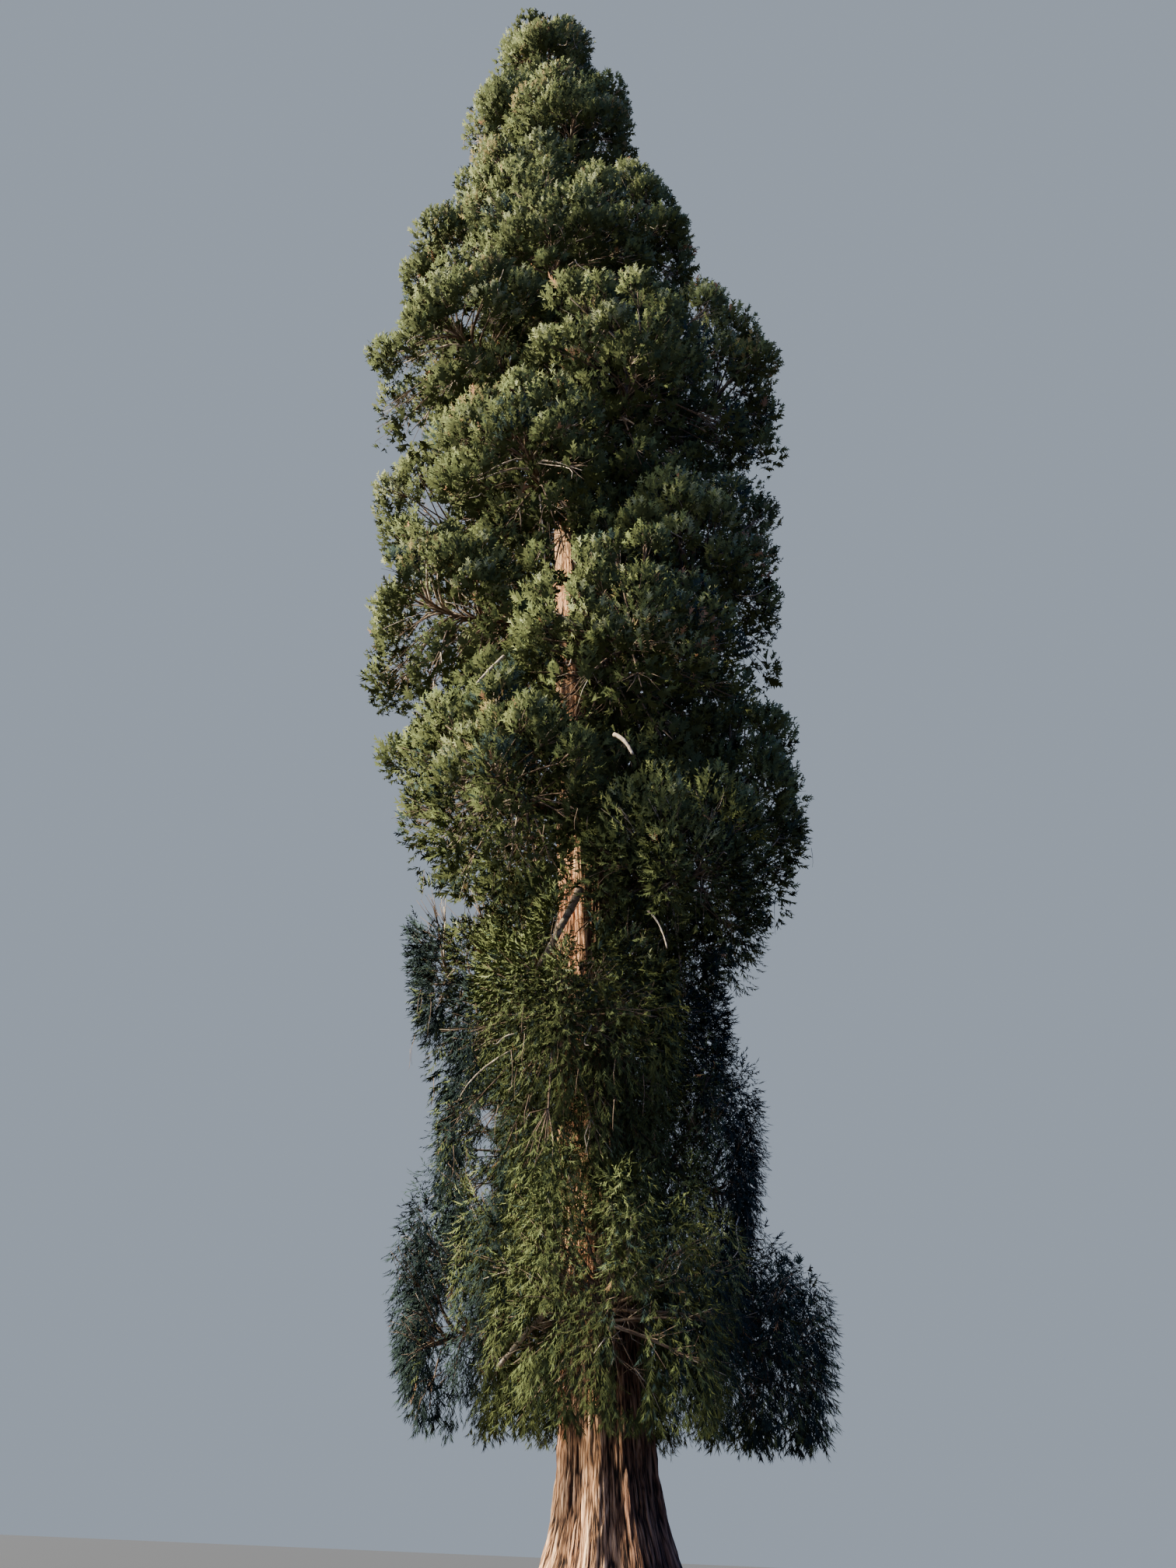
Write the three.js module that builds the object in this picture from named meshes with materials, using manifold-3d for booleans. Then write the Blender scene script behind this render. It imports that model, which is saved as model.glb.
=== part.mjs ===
// Giant sequoia, rooted, 36.4 m tall: a fluted trunk that leans to the left, short lower boughs, and
// rounded masses of scaly foliage in a spiral round the trunk, up to a twin top.
// Millimetres, +Z up. The origin is the middle of the flat cut at ground level.
import * as THREE from "three";
import { mergeVertices } from "three/addons/utils/BufferGeometryUtils.js";
import Module from "manifold-3d";

const wasm = await Module();
wasm.setup();

// Whole tree
const HEIGHT = 36400;
const LEAN = 2700; // how far left of the foot the trunk's line ends at full height
const LEAN_POWER = 1.1;
const GROUND_GAP = 2850; // the lowest foliage hangs this high
const SEAT_GAP = 0.3; // between a piece and what carries it

// Trunk
const TRUNK_TOP = 33900;
const TRUNK_RADIUS = 700; // at the ground, without the root flare
const TAPER_POWER = 0.95;
const FLARE = 900;
const FLARE_HEIGHT = 1100;
const FLARE_POWER = 1.47;
const BUTTRESSES = 7;
const BUTTRESS_DEPTH = 0.2; // share of the flare
const BUTTRESS_TURN = 0.6; // radians
const FLUTES = 11;
const FLUTE_DEPTH = 0.035; // share of the trunk's radius
const FLUTE_TURN = 1.3;
const TRUNK_SIDES = 28;
const TRUNK_RINGS = 14;
const CLEAR_SIDES = 10; // of the plainer trunk that foliage is cut clear with
const RING_POWER = 1.8; // rings stand closer together near the ground

// Boughs and stems
const BOUGH_FOOT_RADIUS = 120;
const BOUGH_TIP_RADIUS = 62;
const BOUGH_SIDES = 6;
const BOUGH_STEPS = 4;
const BOUGH_BEND = { start: 0.1, arch: 0.55, rise: 0.1, landing: 0.3 }; // shares of the bough's span
const STEM_SIDES = 5;
const STEM_FULL_SIZE = 1800; // a mass of this mean half width has a stem as thick as a bough's tip
const STEM_LEAST = 0.35; // the thinnest stem, as a share of that
const STEM_TAPER = 0.6;
const LOWEST_DROP = 1250; // the lowest boughs come down this far to their foliage
const HIGHEST_RISE = 900; // the highest go up this far
const BOUGH_COUNT = 14; // masses carried by a bough that shows, counted from the ground

// Masses of foliage: a level ring at the bottom of the crown, then a spiral up to the top
const RING = { count: 4, z: 4000, first: 0, halfHeight: 1500 };
const SPIRAL = { count: 38, low: 5950, high: 33700, power: 0.92, first: 348 };
const GOLDEN_ANGLE = 180 * (3 - Math.sqrt(5)); // degrees between one mass and the next, and between twigs
const INNER_CLEAR = 300; // bare stretch of limb between the trunk and a mass, where the crown is widest
const FULLNESS = 1.9; // half width of a mass against half the space it has round the trunk
const HANG = 1.1; // masses hang further down than they stand up
const HEIGHT_SCATTER = 260;
const BEARING_SCATTER = 9; // degrees
const ROUNDNESS = 3; // 2 is an ellipsoid, more is fuller at the corners
const CELL_GAP = 50; // between the spaces of two masses
const HALVINGS = 12; // steps in the search for the crown's outline
const LUMP = 0.14; // how deep its wide hollows are, as a share of its reach
const LUMP_WAVES = [5, 6, 5]; // outwards, sideways and up
const STEADY_POWER = 8; // how soon the hollows fade towards the furthest tip
const CORE_SHARE = 0.99; // the dense inside, as a share of the mass's space
const FINE_CORE = 1100; // masses of at least this mean half width have a finer core
const OPEN_CORE_SHARE = 0.85; // in the lowest masses
const CORE_RELIEF = 0.4; // how deep the hollows between its tufts are, as a share of its reach
const RELIEF_BIAS = 0.8; // under 1 makes more of them deep
const CORNER_GRID = 50; // steps per radius to which a corner is rounded before it picks its depth
const ENTRY_SHARE = 0.88; // where a limb ends and the mass's own stem begins

// Twigs and sprays
const TWIGS = 4; // directions tried round each mass
const OPEN_TWIGS = 7; // in the lowest masses, whose sprays fork
const TOP_TWIGS = 5;
const INWARD_LIMIT = 0; // no twig points back at the trunk more than this
const TWIG_SIDES = 3;
const TWIG_RADIUS = 30;
const TWIG_SHARE = 0.7; // how far a twig goes, as a share of the mass's reach
const FIRST_TWIG = 0.8; // twigs leave the stem's last part
const FORK_ANGLE = 0.62; // between a twig and its side spray, in radians
const SPRAY_ROOT = 0.36; // shares of the mass's reach in the spray's direction
const SPRAY_WIDTHS = [0.46, 0.32, 0.2]; // half widths tried, as shares of the spray's length
const SPRAY_HALF_THICK = 0.2;
const SPRAY_OUTLINE = { tooth: 0.8, notch: 0.68, notchWidth: 0.4, ridgeAt: 0.45 };
const SPRAY_CLEAR = 40; // kept between sprays and other limbs
const TRUNK_CLEAR = 70; // kept between foliage and the trunk
const TOP_STEM_DROP = 150; // the stems of the top masses leave the trunk this far below its tip
const LEAST_EDGE = 60; // finer detail than this is smoothed away where pieces are fused

// The crown's outline from the ground up: height, and reach from the trunk's line to the right and left.
const OUTLINE = [
  { z: 2850, right: 3000, left: 2600 },
  { z: 3700, right: 3350, left: 3100 },
  { z: 4700, right: 3300, left: 3200 },
  { z: 5600, right: 2400, left: 3100 },
  { z: 7600, right: 2850, left: 3250 },
  { z: 8900, right: 2500, left: 2950 },
  { z: 10000, right: 3100, left: 3200 },
  { z: 11600, right: 4250, left: 3350 },
  { z: 13200, right: 3800, left: 3700 },
  { z: 14800, right: 3950, left: 4400 },
  { z: 17400, right: 3950, left: 3850 },
  { z: 19800, right: 4200, left: 4100 },
  { z: 21700, right: 4750, left: 4450 },
  { z: 23600, right: 4200, left: 3400 },
  { z: 25300, right: 3650, left: 3800 },
  { z: 27200, right: 2950, left: 2600 },
  { z: 29500, right: 2550, left: 2650 },
  { z: 31700, right: 2100, left: 2150 },
  { z: 33600, right: 1700, left: 1650 },
  { z: 35000, right: 1150, left: 1300 },
  { z: 36400, right: 750, left: 800 },
];

// The two upright masses that end the tree: how far each stands from the trunk's line, and its top.
const TOPS = [
  { name: "top_right", offset: 460, top: 36400, halfHeight: 1350, halfWidth: 900 },
  { name: "top_left", offset: -540, top: 36200, halfHeight: 1300, halfWidth: 850 },
];

const WIDEST = Math.max(...OUTLINE.map((row) => row.right));
const SIDE_NAMES = [
  "right",
  "back_right",
  "back",
  "back_left",
  "left",
  "front_left",
  "front",
  "front_right",
];
const UP = new THREE.Vector3(0, 0, 1);
const RIGHT = new THREE.Vector3(1, 0, 0);
const UPRIGHT = 0.95; // from this much upwards a direction counts as upright

const bark = new THREE.MeshStandardMaterial({ color: 0x8a5f45, roughness: 0.95, metalness: 0 });
const boughBark = new THREE.MeshStandardMaterial({ color: 0x8f705a, roughness: 0.9, metalness: 0 });
const needles = new THREE.MeshStandardMaterial({ color: 0x46572f, roughness: 0.8, metalness: 0 });

// Scatter between 0 and 1 that is the same on every run, from one or two numbers.
const scatter = (a, b = 0) => {
  const x = Math.sin(a * 12.9898 + b * 78.233 + 4.1414) * 43758.5453;
  return x - Math.floor(x);
};

const mix = (a, b, share) => a + (b - a) * share;

const clamp = (x, low, high) => Math.min(high, Math.max(low, x));

const outwards = (bearing) => new THREE.Vector3(Math.cos(bearing), Math.sin(bearing), 0);

// A level direction square to another one, or near enough for one that stands upright.
const squareTo = (way) => {
  return Math.abs(way.z) > UPRIGHT ? RIGHT.clone() : new THREE.Vector3(-way.y, way.x, 0).normalize();
};

// The trunk's line: it leans steadily to the left.
const axisAt = (z) => new THREE.Vector3(-LEAN * (Math.max(z, 0) / HEIGHT) ** LEAN_POWER, 0, z);

// A slow taper, a flare that swells into buttresses at the ground, and shallow flutes above it.
function trunkRadius(z, angle) {
  const taper = TRUNK_RADIUS * (1 - z / HEIGHT) ** TAPER_POWER;
  const flare = FLARE * Math.exp(-((z / FLARE_HEIGHT) ** FLARE_POWER));
  const buttress = 1 + BUTTRESS_DEPTH * Math.cos(BUTTRESSES * angle + BUTTRESS_TURN);
  const flute = 1 + FLUTE_DEPTH * Math.cos(FLUTES * angle + FLUTE_TURN);
  return taper * flute + flare * buttress;
}

// A closed solid from a three.js geometry.
function solidOf(geometry) {
  const bare = geometry.clone();
  bare.deleteAttribute("normal");
  bare.deleteAttribute("uv");
  const merged = mergeVertices(bare, 1e-2);
  return new wasm.Manifold(
    new wasm.Mesh({
      numProp: 3,
      vertProperties: new Float32Array(merged.attributes.position.array),
      triVerts: new Uint32Array(merged.index.array),
    }),
  );
}

function meshOf(solid, name, material) {
  const { numProp, vertProperties, triVerts } = solid.getMesh();
  const points = new Float32Array((vertProperties.length / numProp) * 3);
  for (let i = 0; i < points.length / 3; i++) {
    points.set(vertProperties.subarray(i * numProp, i * numProp + 3), i * 3);
  }
  const geometry = new THREE.BufferGeometry();
  geometry.setAttribute("position", new THREE.BufferAttribute(points, 3));
  geometry.setIndex(new THREE.BufferAttribute(new Uint32Array(triVerts), 1));
  geometry.computeVertexNormals();
  const mesh = new THREE.Mesh(geometry, material);
  mesh.name = name;
  return mesh;
}

// Moves every vertex of a geometry by a rule.
function reshape(geometry, rule) {
  const place = geometry.attributes.position;
  const v = new THREE.Vector3();
  for (let i = 0; i < place.count; i++) {
    v.fromBufferAttribute(place, i);
    rule(v);
    place.setXYZ(i, v.x, v.y, v.z);
  }
  return geometry;
}

// The trunk, as a cylinder whose rings follow the trunk's line and radius. extra widens it all round.
function trunkSolid(extra, sides, rings) {
  const geometry = new THREE.CylinderGeometry(1, 1, 1, sides, rings);
  reshape(geometry, (v) => {
    const share = v.y + 0.5;
    const z = TRUNK_TOP * share ** RING_POWER;
    const across = Math.hypot(v.x, v.z);
    const angle = Math.atan2(-v.z, v.x);
    const radius = across > 0.5 ? trunkRadius(z, angle) + extra : 0;
    const foot = axisAt(z);
    const lift = extra > 0 ? mix(-extra, extra, share) : 0;
    v.set(foot.x + radius * Math.cos(angle), foot.y + radius * Math.sin(angle), z + lift);
  });
  return solidOf(geometry);
}

// A tapering limb along a curve, as a cylinder bent to it. Its ends are flat and square to the curve.
// extra widens it all round and beyond its tip.
function limbSolid(limb, extra, sides, steps) {
  const { curve, radii, side } = limb;
  const geometry = new THREE.CylinderGeometry(1, 1, 1, sides, steps);
  reshape(geometry, (v) => {
    const share = clamp(v.y + 0.5, 0, 1);
    const along = curve.getTangentAt(share);
    const across = side.clone().addScaledVector(along, -side.dot(along)).normalize();
    const third = along.clone().cross(across);
    const radius = mix(radii[0], radii[1], share) + extra;
    const x = v.x * radius;
    const y = -v.z * radius;
    v.copy(curve.getPointAt(share)).addScaledVector(across, x).addScaledVector(third, y);
    if (share === 1) v.addScaledVector(along, extra);
  });
  return solidOf(geometry);
}

function sideName(bearing) {
  const eighth = Math.round((bearing / (2 * Math.PI)) * SIDE_NAMES.length);
  return SIDE_NAMES[((eighth % SIDE_NAMES.length) + SIDE_NAMES.length) % SIDE_NAMES.length];
}

// How far the crown reaches at a height and bearing: its right or left reach, easing to their mean at
// front and back.
function crownReach(z, bearing) {
  const above = clamp(OUTLINE.findIndex((row) => row.z > z), 1, OUTLINE.length - 1);
  const high = z >= HEIGHT ? OUTLINE.length - 1 : above;
  const [a, b] = [OUTLINE[high - 1], OUTLINE[high]];
  const share = clamp((z - a.z) / (b.z - a.z), 0, 1);
  const [right, left] = [mix(a.right, b.right, share), mix(a.left, b.left, share)];
  const mean = (right + left) / 2;
  return mix(mean, Math.cos(bearing) > 0 ? right : left, Math.abs(Math.cos(bearing)));
}

// A mass is a rounded space between the trunk and the crown's outline. room is the stretch of height
// that it has to itself, so its width follows from the way round the trunk that is left to it.
function massAt(index, z, degrees, room, halfHeight) {
  const bearing = THREE.MathUtils.degToRad(degrees);
  const reach = crownReach(z, bearing);
  const inner = trunkRadius(z, bearing) + (INNER_CLEAR * reach) / WIDEST;
  const along = (reach - inner) / 2;
  const out = outwards(bearing);
  const half = (Math.sqrt(2 * Math.PI * (reach - along) * room) / 2) * FULLNESS;
  const rise = (z - RING.z) / (SPIRAL.high - RING.z);
  const isLowest = index < RING.count;
  return {
    name: `${String(index + 1).padStart(2, "0")}_${sideName(bearing)}`,
    seed: index * 7 + 1,
    centre: axisAt(z).addScaledVector(out, reach - along),
    out,
    side: new THREE.Vector3(-out.y, out.x, 0),
    along,
    across: half,
    up: halfHeight ?? half,
    down: (halfHeight ?? half) * HANG,
    foot: axisAt(z + mix(LOWEST_DROP, -HIGHEST_RISE, rise)),
    hasBough: index < BOUGH_COUNT,
    isTop: false,
    forks: isLowest,
    coreShare: isLowest ? OPEN_CORE_SHARE : CORE_SHARE,
    twigs: isLowest ? OPEN_TWIGS : TWIGS,
  };
}

const ringMasses = Array.from({ length: RING.count }, (_, i) => {
  const degrees = RING.first + (360 / RING.count) * i;
  return massAt(i, RING.z, degrees, (RING.halfHeight * 2) / RING.count, RING.halfHeight);
});

const spiralHeight = (i) => {
  return mix(SPIRAL.low, SPIRAL.high, (i / (SPIRAL.count - 1)) ** SPIRAL.power);
};

const spiralMasses = Array.from({ length: SPIRAL.count }, (_, i) => {
  const room = i ? spiralHeight(i) - spiralHeight(i - 1) : spiralHeight(1) - spiralHeight(0);
  const z = spiralHeight(i) + (scatter(i + 3) - 0.5) * 2 * HEIGHT_SCATTER;
  const degrees = SPIRAL.first + i * GOLDEN_ANGLE + (scatter(i + 50) - 0.5) * 2 * BEARING_SCATTER;
  return massAt(RING.count + i, z, degrees, room);
});

function topMass(top, index) {
  const z = top.top - top.halfHeight;
  const out = new THREE.Vector3(Math.sign(top.offset), 0, 0);
  const centre = axisAt(z).add(new THREE.Vector3(top.offset, 0, 0));
  return {
    name: top.name,
    seed: 400 + index,
    centre,
    out,
    side: new THREE.Vector3(0, 1, 0),
    along: top.halfWidth,
    across: top.halfWidth,
    up: top.halfHeight,
    down: top.halfHeight,
    foot: axisAt(TRUNK_TOP - TOP_STEM_DROP),
    hasBough: false,
    isTop: true,
    forks: false,
    coreShare: CORE_SHARE,
    twigs: TOP_TWIGS,
  };
}

const masses = [...ringMasses, ...spiralMasses, ...TOPS.map(topMass)];

// Two masses share the space between them at a plane, further from the larger one.
for (const mass of masses) {
  mass.size = Math.cbrt(mass.along * mass.across * mass.up);
}
for (const mass of masses) {
  mass.walls = masses
    .filter((other) => other !== mass)
    .map((other) => {
      const way = other.centre.clone().sub(mass.centre);
      const apart = way.length();
      const distance = (apart ** 2 + mass.size ** 2 - other.size ** 2) / (2 * apart) - CELL_GAP / 2;
      return { normal: way.normalize(), distance };
    });
}

function insideCrown(point) {
  const foot = axisAt(point.z);
  const bearing = Math.atan2(point.y - foot.y, point.x - foot.x);
  const inHeight = point.z > GROUND_GAP && point.z < HEIGHT;
  return inHeight && Math.hypot(point.x - foot.x, point.y - foot.y) < crownReach(point.z, bearing);
}

// How far a mass's space reaches from its centre in a direction: a lumpy rounded shape, inside its walls
// and inside the crown's outline.
function reachOf(mass, way) {
  const parts = [way.dot(mass.out), way.dot(mass.side), way.z];
  const halves = [mass.along, mass.across, way.z > 0 ? mass.up : mass.down];
  const sum = parts.reduce((total, part, i) => total + Math.abs(part / halves[i]) ** ROUNDNESS, 0);
  const lumps = parts.reduce((product, part, i) => product * Math.sin(LUMP_WAVES[i] * part + mass.seed), 1);
  const steady = Math.max(parts[0], mass.isTop ? way.z : 0) ** STEADY_POWER;
  let reach = sum ** (-1 / ROUNDNESS) * (1 - LUMP * (0.5 + 0.5 * lumps) * (1 - steady));
  for (const { normal, distance } of mass.walls) {
    const facing = way.dot(normal);
    if (facing > 0) reach = Math.min(reach, distance / facing);
  }
  const isInside = (length) => insideCrown(mass.centre.clone().addScaledVector(way, length));
  let [within, beyond] = [isInside(reach) ? reach : 0, reach];
  for (let i = 0; i < HALVINGS; i++) {
    const middle = (within + beyond) / 2;
    if (isInside(middle)) within = middle;
    else beyond = middle;
  }
  return within;
}

function insideSpace(mass, point) {
  const inWalls = mass.walls.every(({ normal, distance }) => {
    return point.clone().sub(mass.centre).dot(normal) < distance;
  });
  return inWalls && point.z > GROUND_GAP && point.z < HEIGHT;
}

// The point where a limb ends and a mass's own stem begins.
function entryOf(mass) {
  const inwards = mass.foot.clone().sub(mass.centre).normalize();
  const reach = reachOf(mass, inwards) * ENTRY_SHARE;
  return { point: mass.centre.clone().addScaledVector(inwards, reach), inwards };
}

// A bough leaves the trunk square to it, and ends in line with the stem that carries on from it.
function boughOf(mass) {
  const { point, inwards } = entryOf(mass);
  const out = point.clone().sub(mass.foot).setZ(0).normalize();
  const span = point.distanceTo(mass.foot);
  const { start, arch, rise, landing } = BOUGH_BEND;
  const curve = new THREE.CubicBezierCurve3(
    mass.foot.clone().addScaledVector(out, span * start),
    mass.foot.clone().addScaledVector(out, span * arch).addScaledVector(UP, span * rise),
    point.clone().addScaledVector(inwards, span * landing),
    point,
  );
  const radii = [BOUGH_FOOT_RADIUS, BOUGH_TIP_RADIUS];
  return { name: `bough_${mass.name}`, curve, radii, side: squareTo(out) };
}

// The stem inside a mass runs from the bough's tip, or from inside the trunk, to the mass's middle.
function stemOf(mass) {
  const { point, inwards } = entryOf(mass);
  const start = mass.hasBough ? point.addScaledVector(inwards, -SEAT_GAP) : mass.foot;
  const radius = clamp(mass.size / STEM_FULL_SIZE, STEM_LEAST, 1) * BOUGH_TIP_RADIUS;
  return {
    curve: new THREE.LineCurve3(start, mass.centre),
    radii: [mass.hasBough ? BOUGH_TIP_RADIUS : radius, radius * STEM_TAPER],
    side: squareTo(inwards),
  };
}

// The dense inside of a mass: a faceted ball pulled out to a share of the mass's space, with each of its
// corners drawn back by its own amount into a tufted surface.
function coreSolid(mass) {
  const geometry = new THREE.IcosahedronGeometry(1, mass.size < FINE_CORE ? 1 : 2);
  reshape(geometry, (v) => {
    v.normalize();
    const [x, y, z] = v.toArray().map((part) => Math.round(part * CORNER_GRID));
    const depth = scatter(mass.seed + x, y + CORNER_GRID * z) ** RELIEF_BIAS;
    v.multiplyScalar(reachOf(mass, v) * mass.coreShare * (1 - CORE_RELIEF * depth)).add(mass.centre);
  });
  return solidOf(geometry);
}

// Directions spread evenly round a mass by the golden angle, with the furthest outward one first.
function twigWays(mass) {
  const turn = scatter(mass.seed, mass.twigs) * 2 * Math.PI;
  const ways = [mass.isTop ? UP.clone() : mass.out.clone()];
  for (let k = 0; k < mass.twigs; k++) {
    const up = 1 - (2 * (k + 0.5)) / mass.twigs;
    const level = Math.sqrt(1 - up * up);
    const angle = THREE.MathUtils.degToRad(k * GOLDEN_ANGLE) + turn;
    const way = mass.out.clone().multiplyScalar(level * Math.cos(angle));
    ways.push(way.addScaledVector(mass.side, level * Math.sin(angle)).addScaledVector(UP, up));
  }
  return ways.filter((way) => mass.isTop || way.dot(mass.out) > INWARD_LIMIT);
}

// A toothed blade from root to tip: a ball of six sides whose rim is drawn into a long middle tooth, two
// side teeth and a root, and whose poles are its ridges.
function sprayShape(root, tip, flat, width) {
  const length = root.distanceTo(tip);
  const along = tip.clone().sub(root).normalize();
  const across = flat.clone().addScaledVector(along, -flat.dot(along)).normalize();
  const ridge = along.clone().cross(across);
  const { tooth, notch, notchWidth, ridgeAt } = SPRAY_OUTLINE;
  const rim = [
    [1, 0],
    [notch, notchWidth * width],
    [tooth, width],
    [0, 0],
    [tooth, -width],
    [notch, -notchWidth * width],
  ];
  const place = (a, b, c) => {
    const point = root.clone().addScaledVector(along, a * length);
    return point.addScaledVector(across, b * length).addScaledVector(ridge, c * length);
  };
  const corners = [];
  const geometry = reshape(new THREE.SphereGeometry(1, rim.length, 2), (v) => {
    if (Math.abs(v.y) > 0.5) {
      v.copy(place(ridgeAt, 0, Math.sign(v.y) * SPRAY_HALF_THICK));
    } else {
      const turn = Math.atan2(-v.z, v.x) / (2 * Math.PI) + 1;
      v.copy(place(...rim[Math.round(turn * rim.length) % rim.length], 0));
    }
    corners.push(v.clone());
  });
  return { geometry, corners };
}

const boughs = masses.filter((mass) => mass.hasBough).map(boughOf);
const boughPoints = boughs.flatMap((bough) => bough.curve.getSpacedPoints(BOUGH_STEPS * 2));

// Whether a corner comes within the clearance of the trunk or of a bough.
function touchesLimb(point) {
  const foot = axisAt(point.z);
  const angle = Math.atan2(point.y - foot.y, point.x - foot.x);
  const fromTrunk = Math.hypot(point.x - foot.x, point.y - foot.y);
  if (point.z < TRUNK_TOP && fromTrunk < trunkRadius(point.z, angle) + SPRAY_CLEAR) return true;
  return boughPoints.some((p) => p.distanceTo(point) < BOUGH_FOOT_RADIUS + SPRAY_CLEAR);
}

// One spray from root to tip, as wide as fits the mass's space, or nothing where none does.
function spraySolids(mass, root, tip, roll) {
  const along = tip.clone().sub(root).normalize();
  const flat = squareTo(along).applyAxisAngle(along, roll);
  for (const width of SPRAY_WIDTHS) {
    const { geometry, corners } = sprayShape(root, tip, flat, width);
    const fits = corners.every((corner) => insideSpace(mass, corner) && !touchesLimb(corner));
    if (fits) return [solidOf(geometry)];
  }
  return [];
}

// A three-sided twig off the stem with a spray at its tip, and in the lowest masses another that forks
// off it.
function twigSolids(mass, way, k) {
  const at = (direction, share) => {
    return mass.centre.clone().addScaledVector(direction, reachOf(mass, direction) * share);
  };
  const roll = scatter(mass.seed, k) * 2 * Math.PI;
  const root = at(way, SPRAY_ROOT);
  const sprays = spraySolids(mass, root, at(way, 1), roll);
  if (mass.forks) {
    const fork = way.clone().applyAxisAngle(squareTo(way).applyAxisAngle(way, roll), FORK_ANGLE);
    sprays.push(...spraySolids(mass, root, at(fork, 1), roll));
  }
  if (!sprays.length) return [];
  const start = stemOf(mass).curve.getPointAt(mix(FIRST_TWIG, 1, scatter(mass.seed, -k)));
  const twig = {
    curve: new THREE.LineCurve3(start, at(way, TWIG_SHARE)),
    radii: [TWIG_RADIUS, TWIG_RADIUS * STEM_TAPER],
    side: squareTo(way),
  };
  return [limbSolid(twig, 0, TWIG_SIDES, 1), ...sprays];
}

const trunk = trunkSolid(0, TRUNK_SIDES, TRUNK_RINGS);
const trunkSeat = trunkSolid(SEAT_GAP, TRUNK_SIDES, TRUNK_RINGS);
const trunkClear = trunkSolid(TRUNK_CLEAR, CLEAR_SIDES, TRUNK_RINGS / 2);
const boughSolids = boughs.map((bough) => limbSolid(bough, 0, BOUGH_SIDES, BOUGH_STEPS).subtract(trunkSeat));
const boughClear = boughs.map((bough) => limbSolid(bough, SPRAY_CLEAR, BOUGH_SIDES, BOUGH_STEPS));

// The largest of a solid's separate bodies: loose scraps go, and sealed hollows fill.
function largest(solid) {
  return solid.decompose().reduce((a, b) => (b.volume() > a.volume() ? b : a));
}

// A mass: its core, twigs and sprays, cut clear of the limbs, and the stem that carries them.
function massSolid(mass) {
  const twigs = twigWays(mass).flatMap((way, k) => twigSolids(mass, way, k));
  const inside = wasm.Manifold.union([coreSolid(mass), ...twigs]).simplify(LEAST_EDGE);
  const foliage = largest(wasm.Manifold.difference([inside, trunkClear, ...boughClear]));
  const stem = limbSolid(stemOf(mass), 0, STEM_SIDES, 1);
  return largest(foliage.add(mass.hasBough ? stem : stem.subtract(trunkSeat)));
}

const tree = new THREE.Group();
tree.name = "giant_sequoia";
tree.add(meshOf(trunk, "trunk", bark));
boughs.forEach((bough, i) => tree.add(meshOf(largest(boughSolids[i]), bough.name, boughBark)));
masses.forEach((mass) => tree.add(meshOf(massSolid(mass), `foliage_${mass.name}`, needles)));

export default tree;
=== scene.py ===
import math

import bpy
import numpy as np
from mathutils import Matrix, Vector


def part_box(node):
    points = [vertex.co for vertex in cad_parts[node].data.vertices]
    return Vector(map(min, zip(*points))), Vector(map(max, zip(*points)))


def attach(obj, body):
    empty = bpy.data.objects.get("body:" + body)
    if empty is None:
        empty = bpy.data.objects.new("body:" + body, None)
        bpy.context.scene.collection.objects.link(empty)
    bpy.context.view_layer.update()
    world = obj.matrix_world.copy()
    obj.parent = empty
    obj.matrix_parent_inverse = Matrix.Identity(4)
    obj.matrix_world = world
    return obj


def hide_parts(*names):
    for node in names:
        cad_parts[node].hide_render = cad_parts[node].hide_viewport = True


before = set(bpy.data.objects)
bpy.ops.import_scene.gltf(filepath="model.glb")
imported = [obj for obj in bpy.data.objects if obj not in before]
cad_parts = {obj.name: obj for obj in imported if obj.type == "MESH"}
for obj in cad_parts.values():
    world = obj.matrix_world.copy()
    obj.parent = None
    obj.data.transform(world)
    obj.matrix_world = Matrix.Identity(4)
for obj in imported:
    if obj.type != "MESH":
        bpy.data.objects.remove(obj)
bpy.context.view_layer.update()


# The view. Someone stands about 20 m in front of the tree and tilts the camera up, a little askew,
# so that the whole crown fits into an upright picture.
EYE = np.array([-0.79, -20.0, 1.6])
LOOK_UP = math.radians(30.0)
ASKEW = math.radians(2.45)
LENS = 30.16  # millimetres, on a sensor 36 mm along the picture's long side

camera = bpy.data.objects.new("viewer", bpy.data.cameras.new("viewer"))
camera.data.lens = LENS
camera.data.clip_end = 500
turned = Matrix.Rotation(math.pi / 2 + LOOK_UP, 4, "X") @ Matrix.Rotation(ASKEW, 4, "Z")
camera.matrix_world = Matrix.Translation(EYE) @ turned
bpy.context.scene.collection.objects.link(camera)
bpy.context.scene.camera = camera


# The ground and the light. A plain floor, a low sun from the left and a little in front with a broad
# soft glow round it, and an even surround whose cool light fills the shade.
FLOOR_HALF = 150.0
FLOOR_COLOUR = (0.05, 0.05, 0.049, 1)
SUN_BEARING = math.radians(190)  # where the sun stands, turned from the tree's right
SUN_HEIGHT = math.radians(33)
SUN_STRENGTH = 14.5
SUN_COLOUR = (1.0, 0.91, 0.68)
SUN_SOFTNESS = math.radians(3)
GLOW_BEARING = math.radians(191)  # the bright haze round the sun
GLOW_HEIGHT = math.radians(40)
GLOW_STRENGTH = 7.5
GLOW_COLOUR = (0.97, 0.98, 0.86)
GLOW_SOFTNESS = math.radians(60)
SURROUND = (0.62, 0.72, 0.86, 1)
SURROUND_STRENGTH = 0.52
FILL = (0.24, 0.5, 1.45, 1)  # light in the shade
FILL_STRENGTH = 0.54


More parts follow.
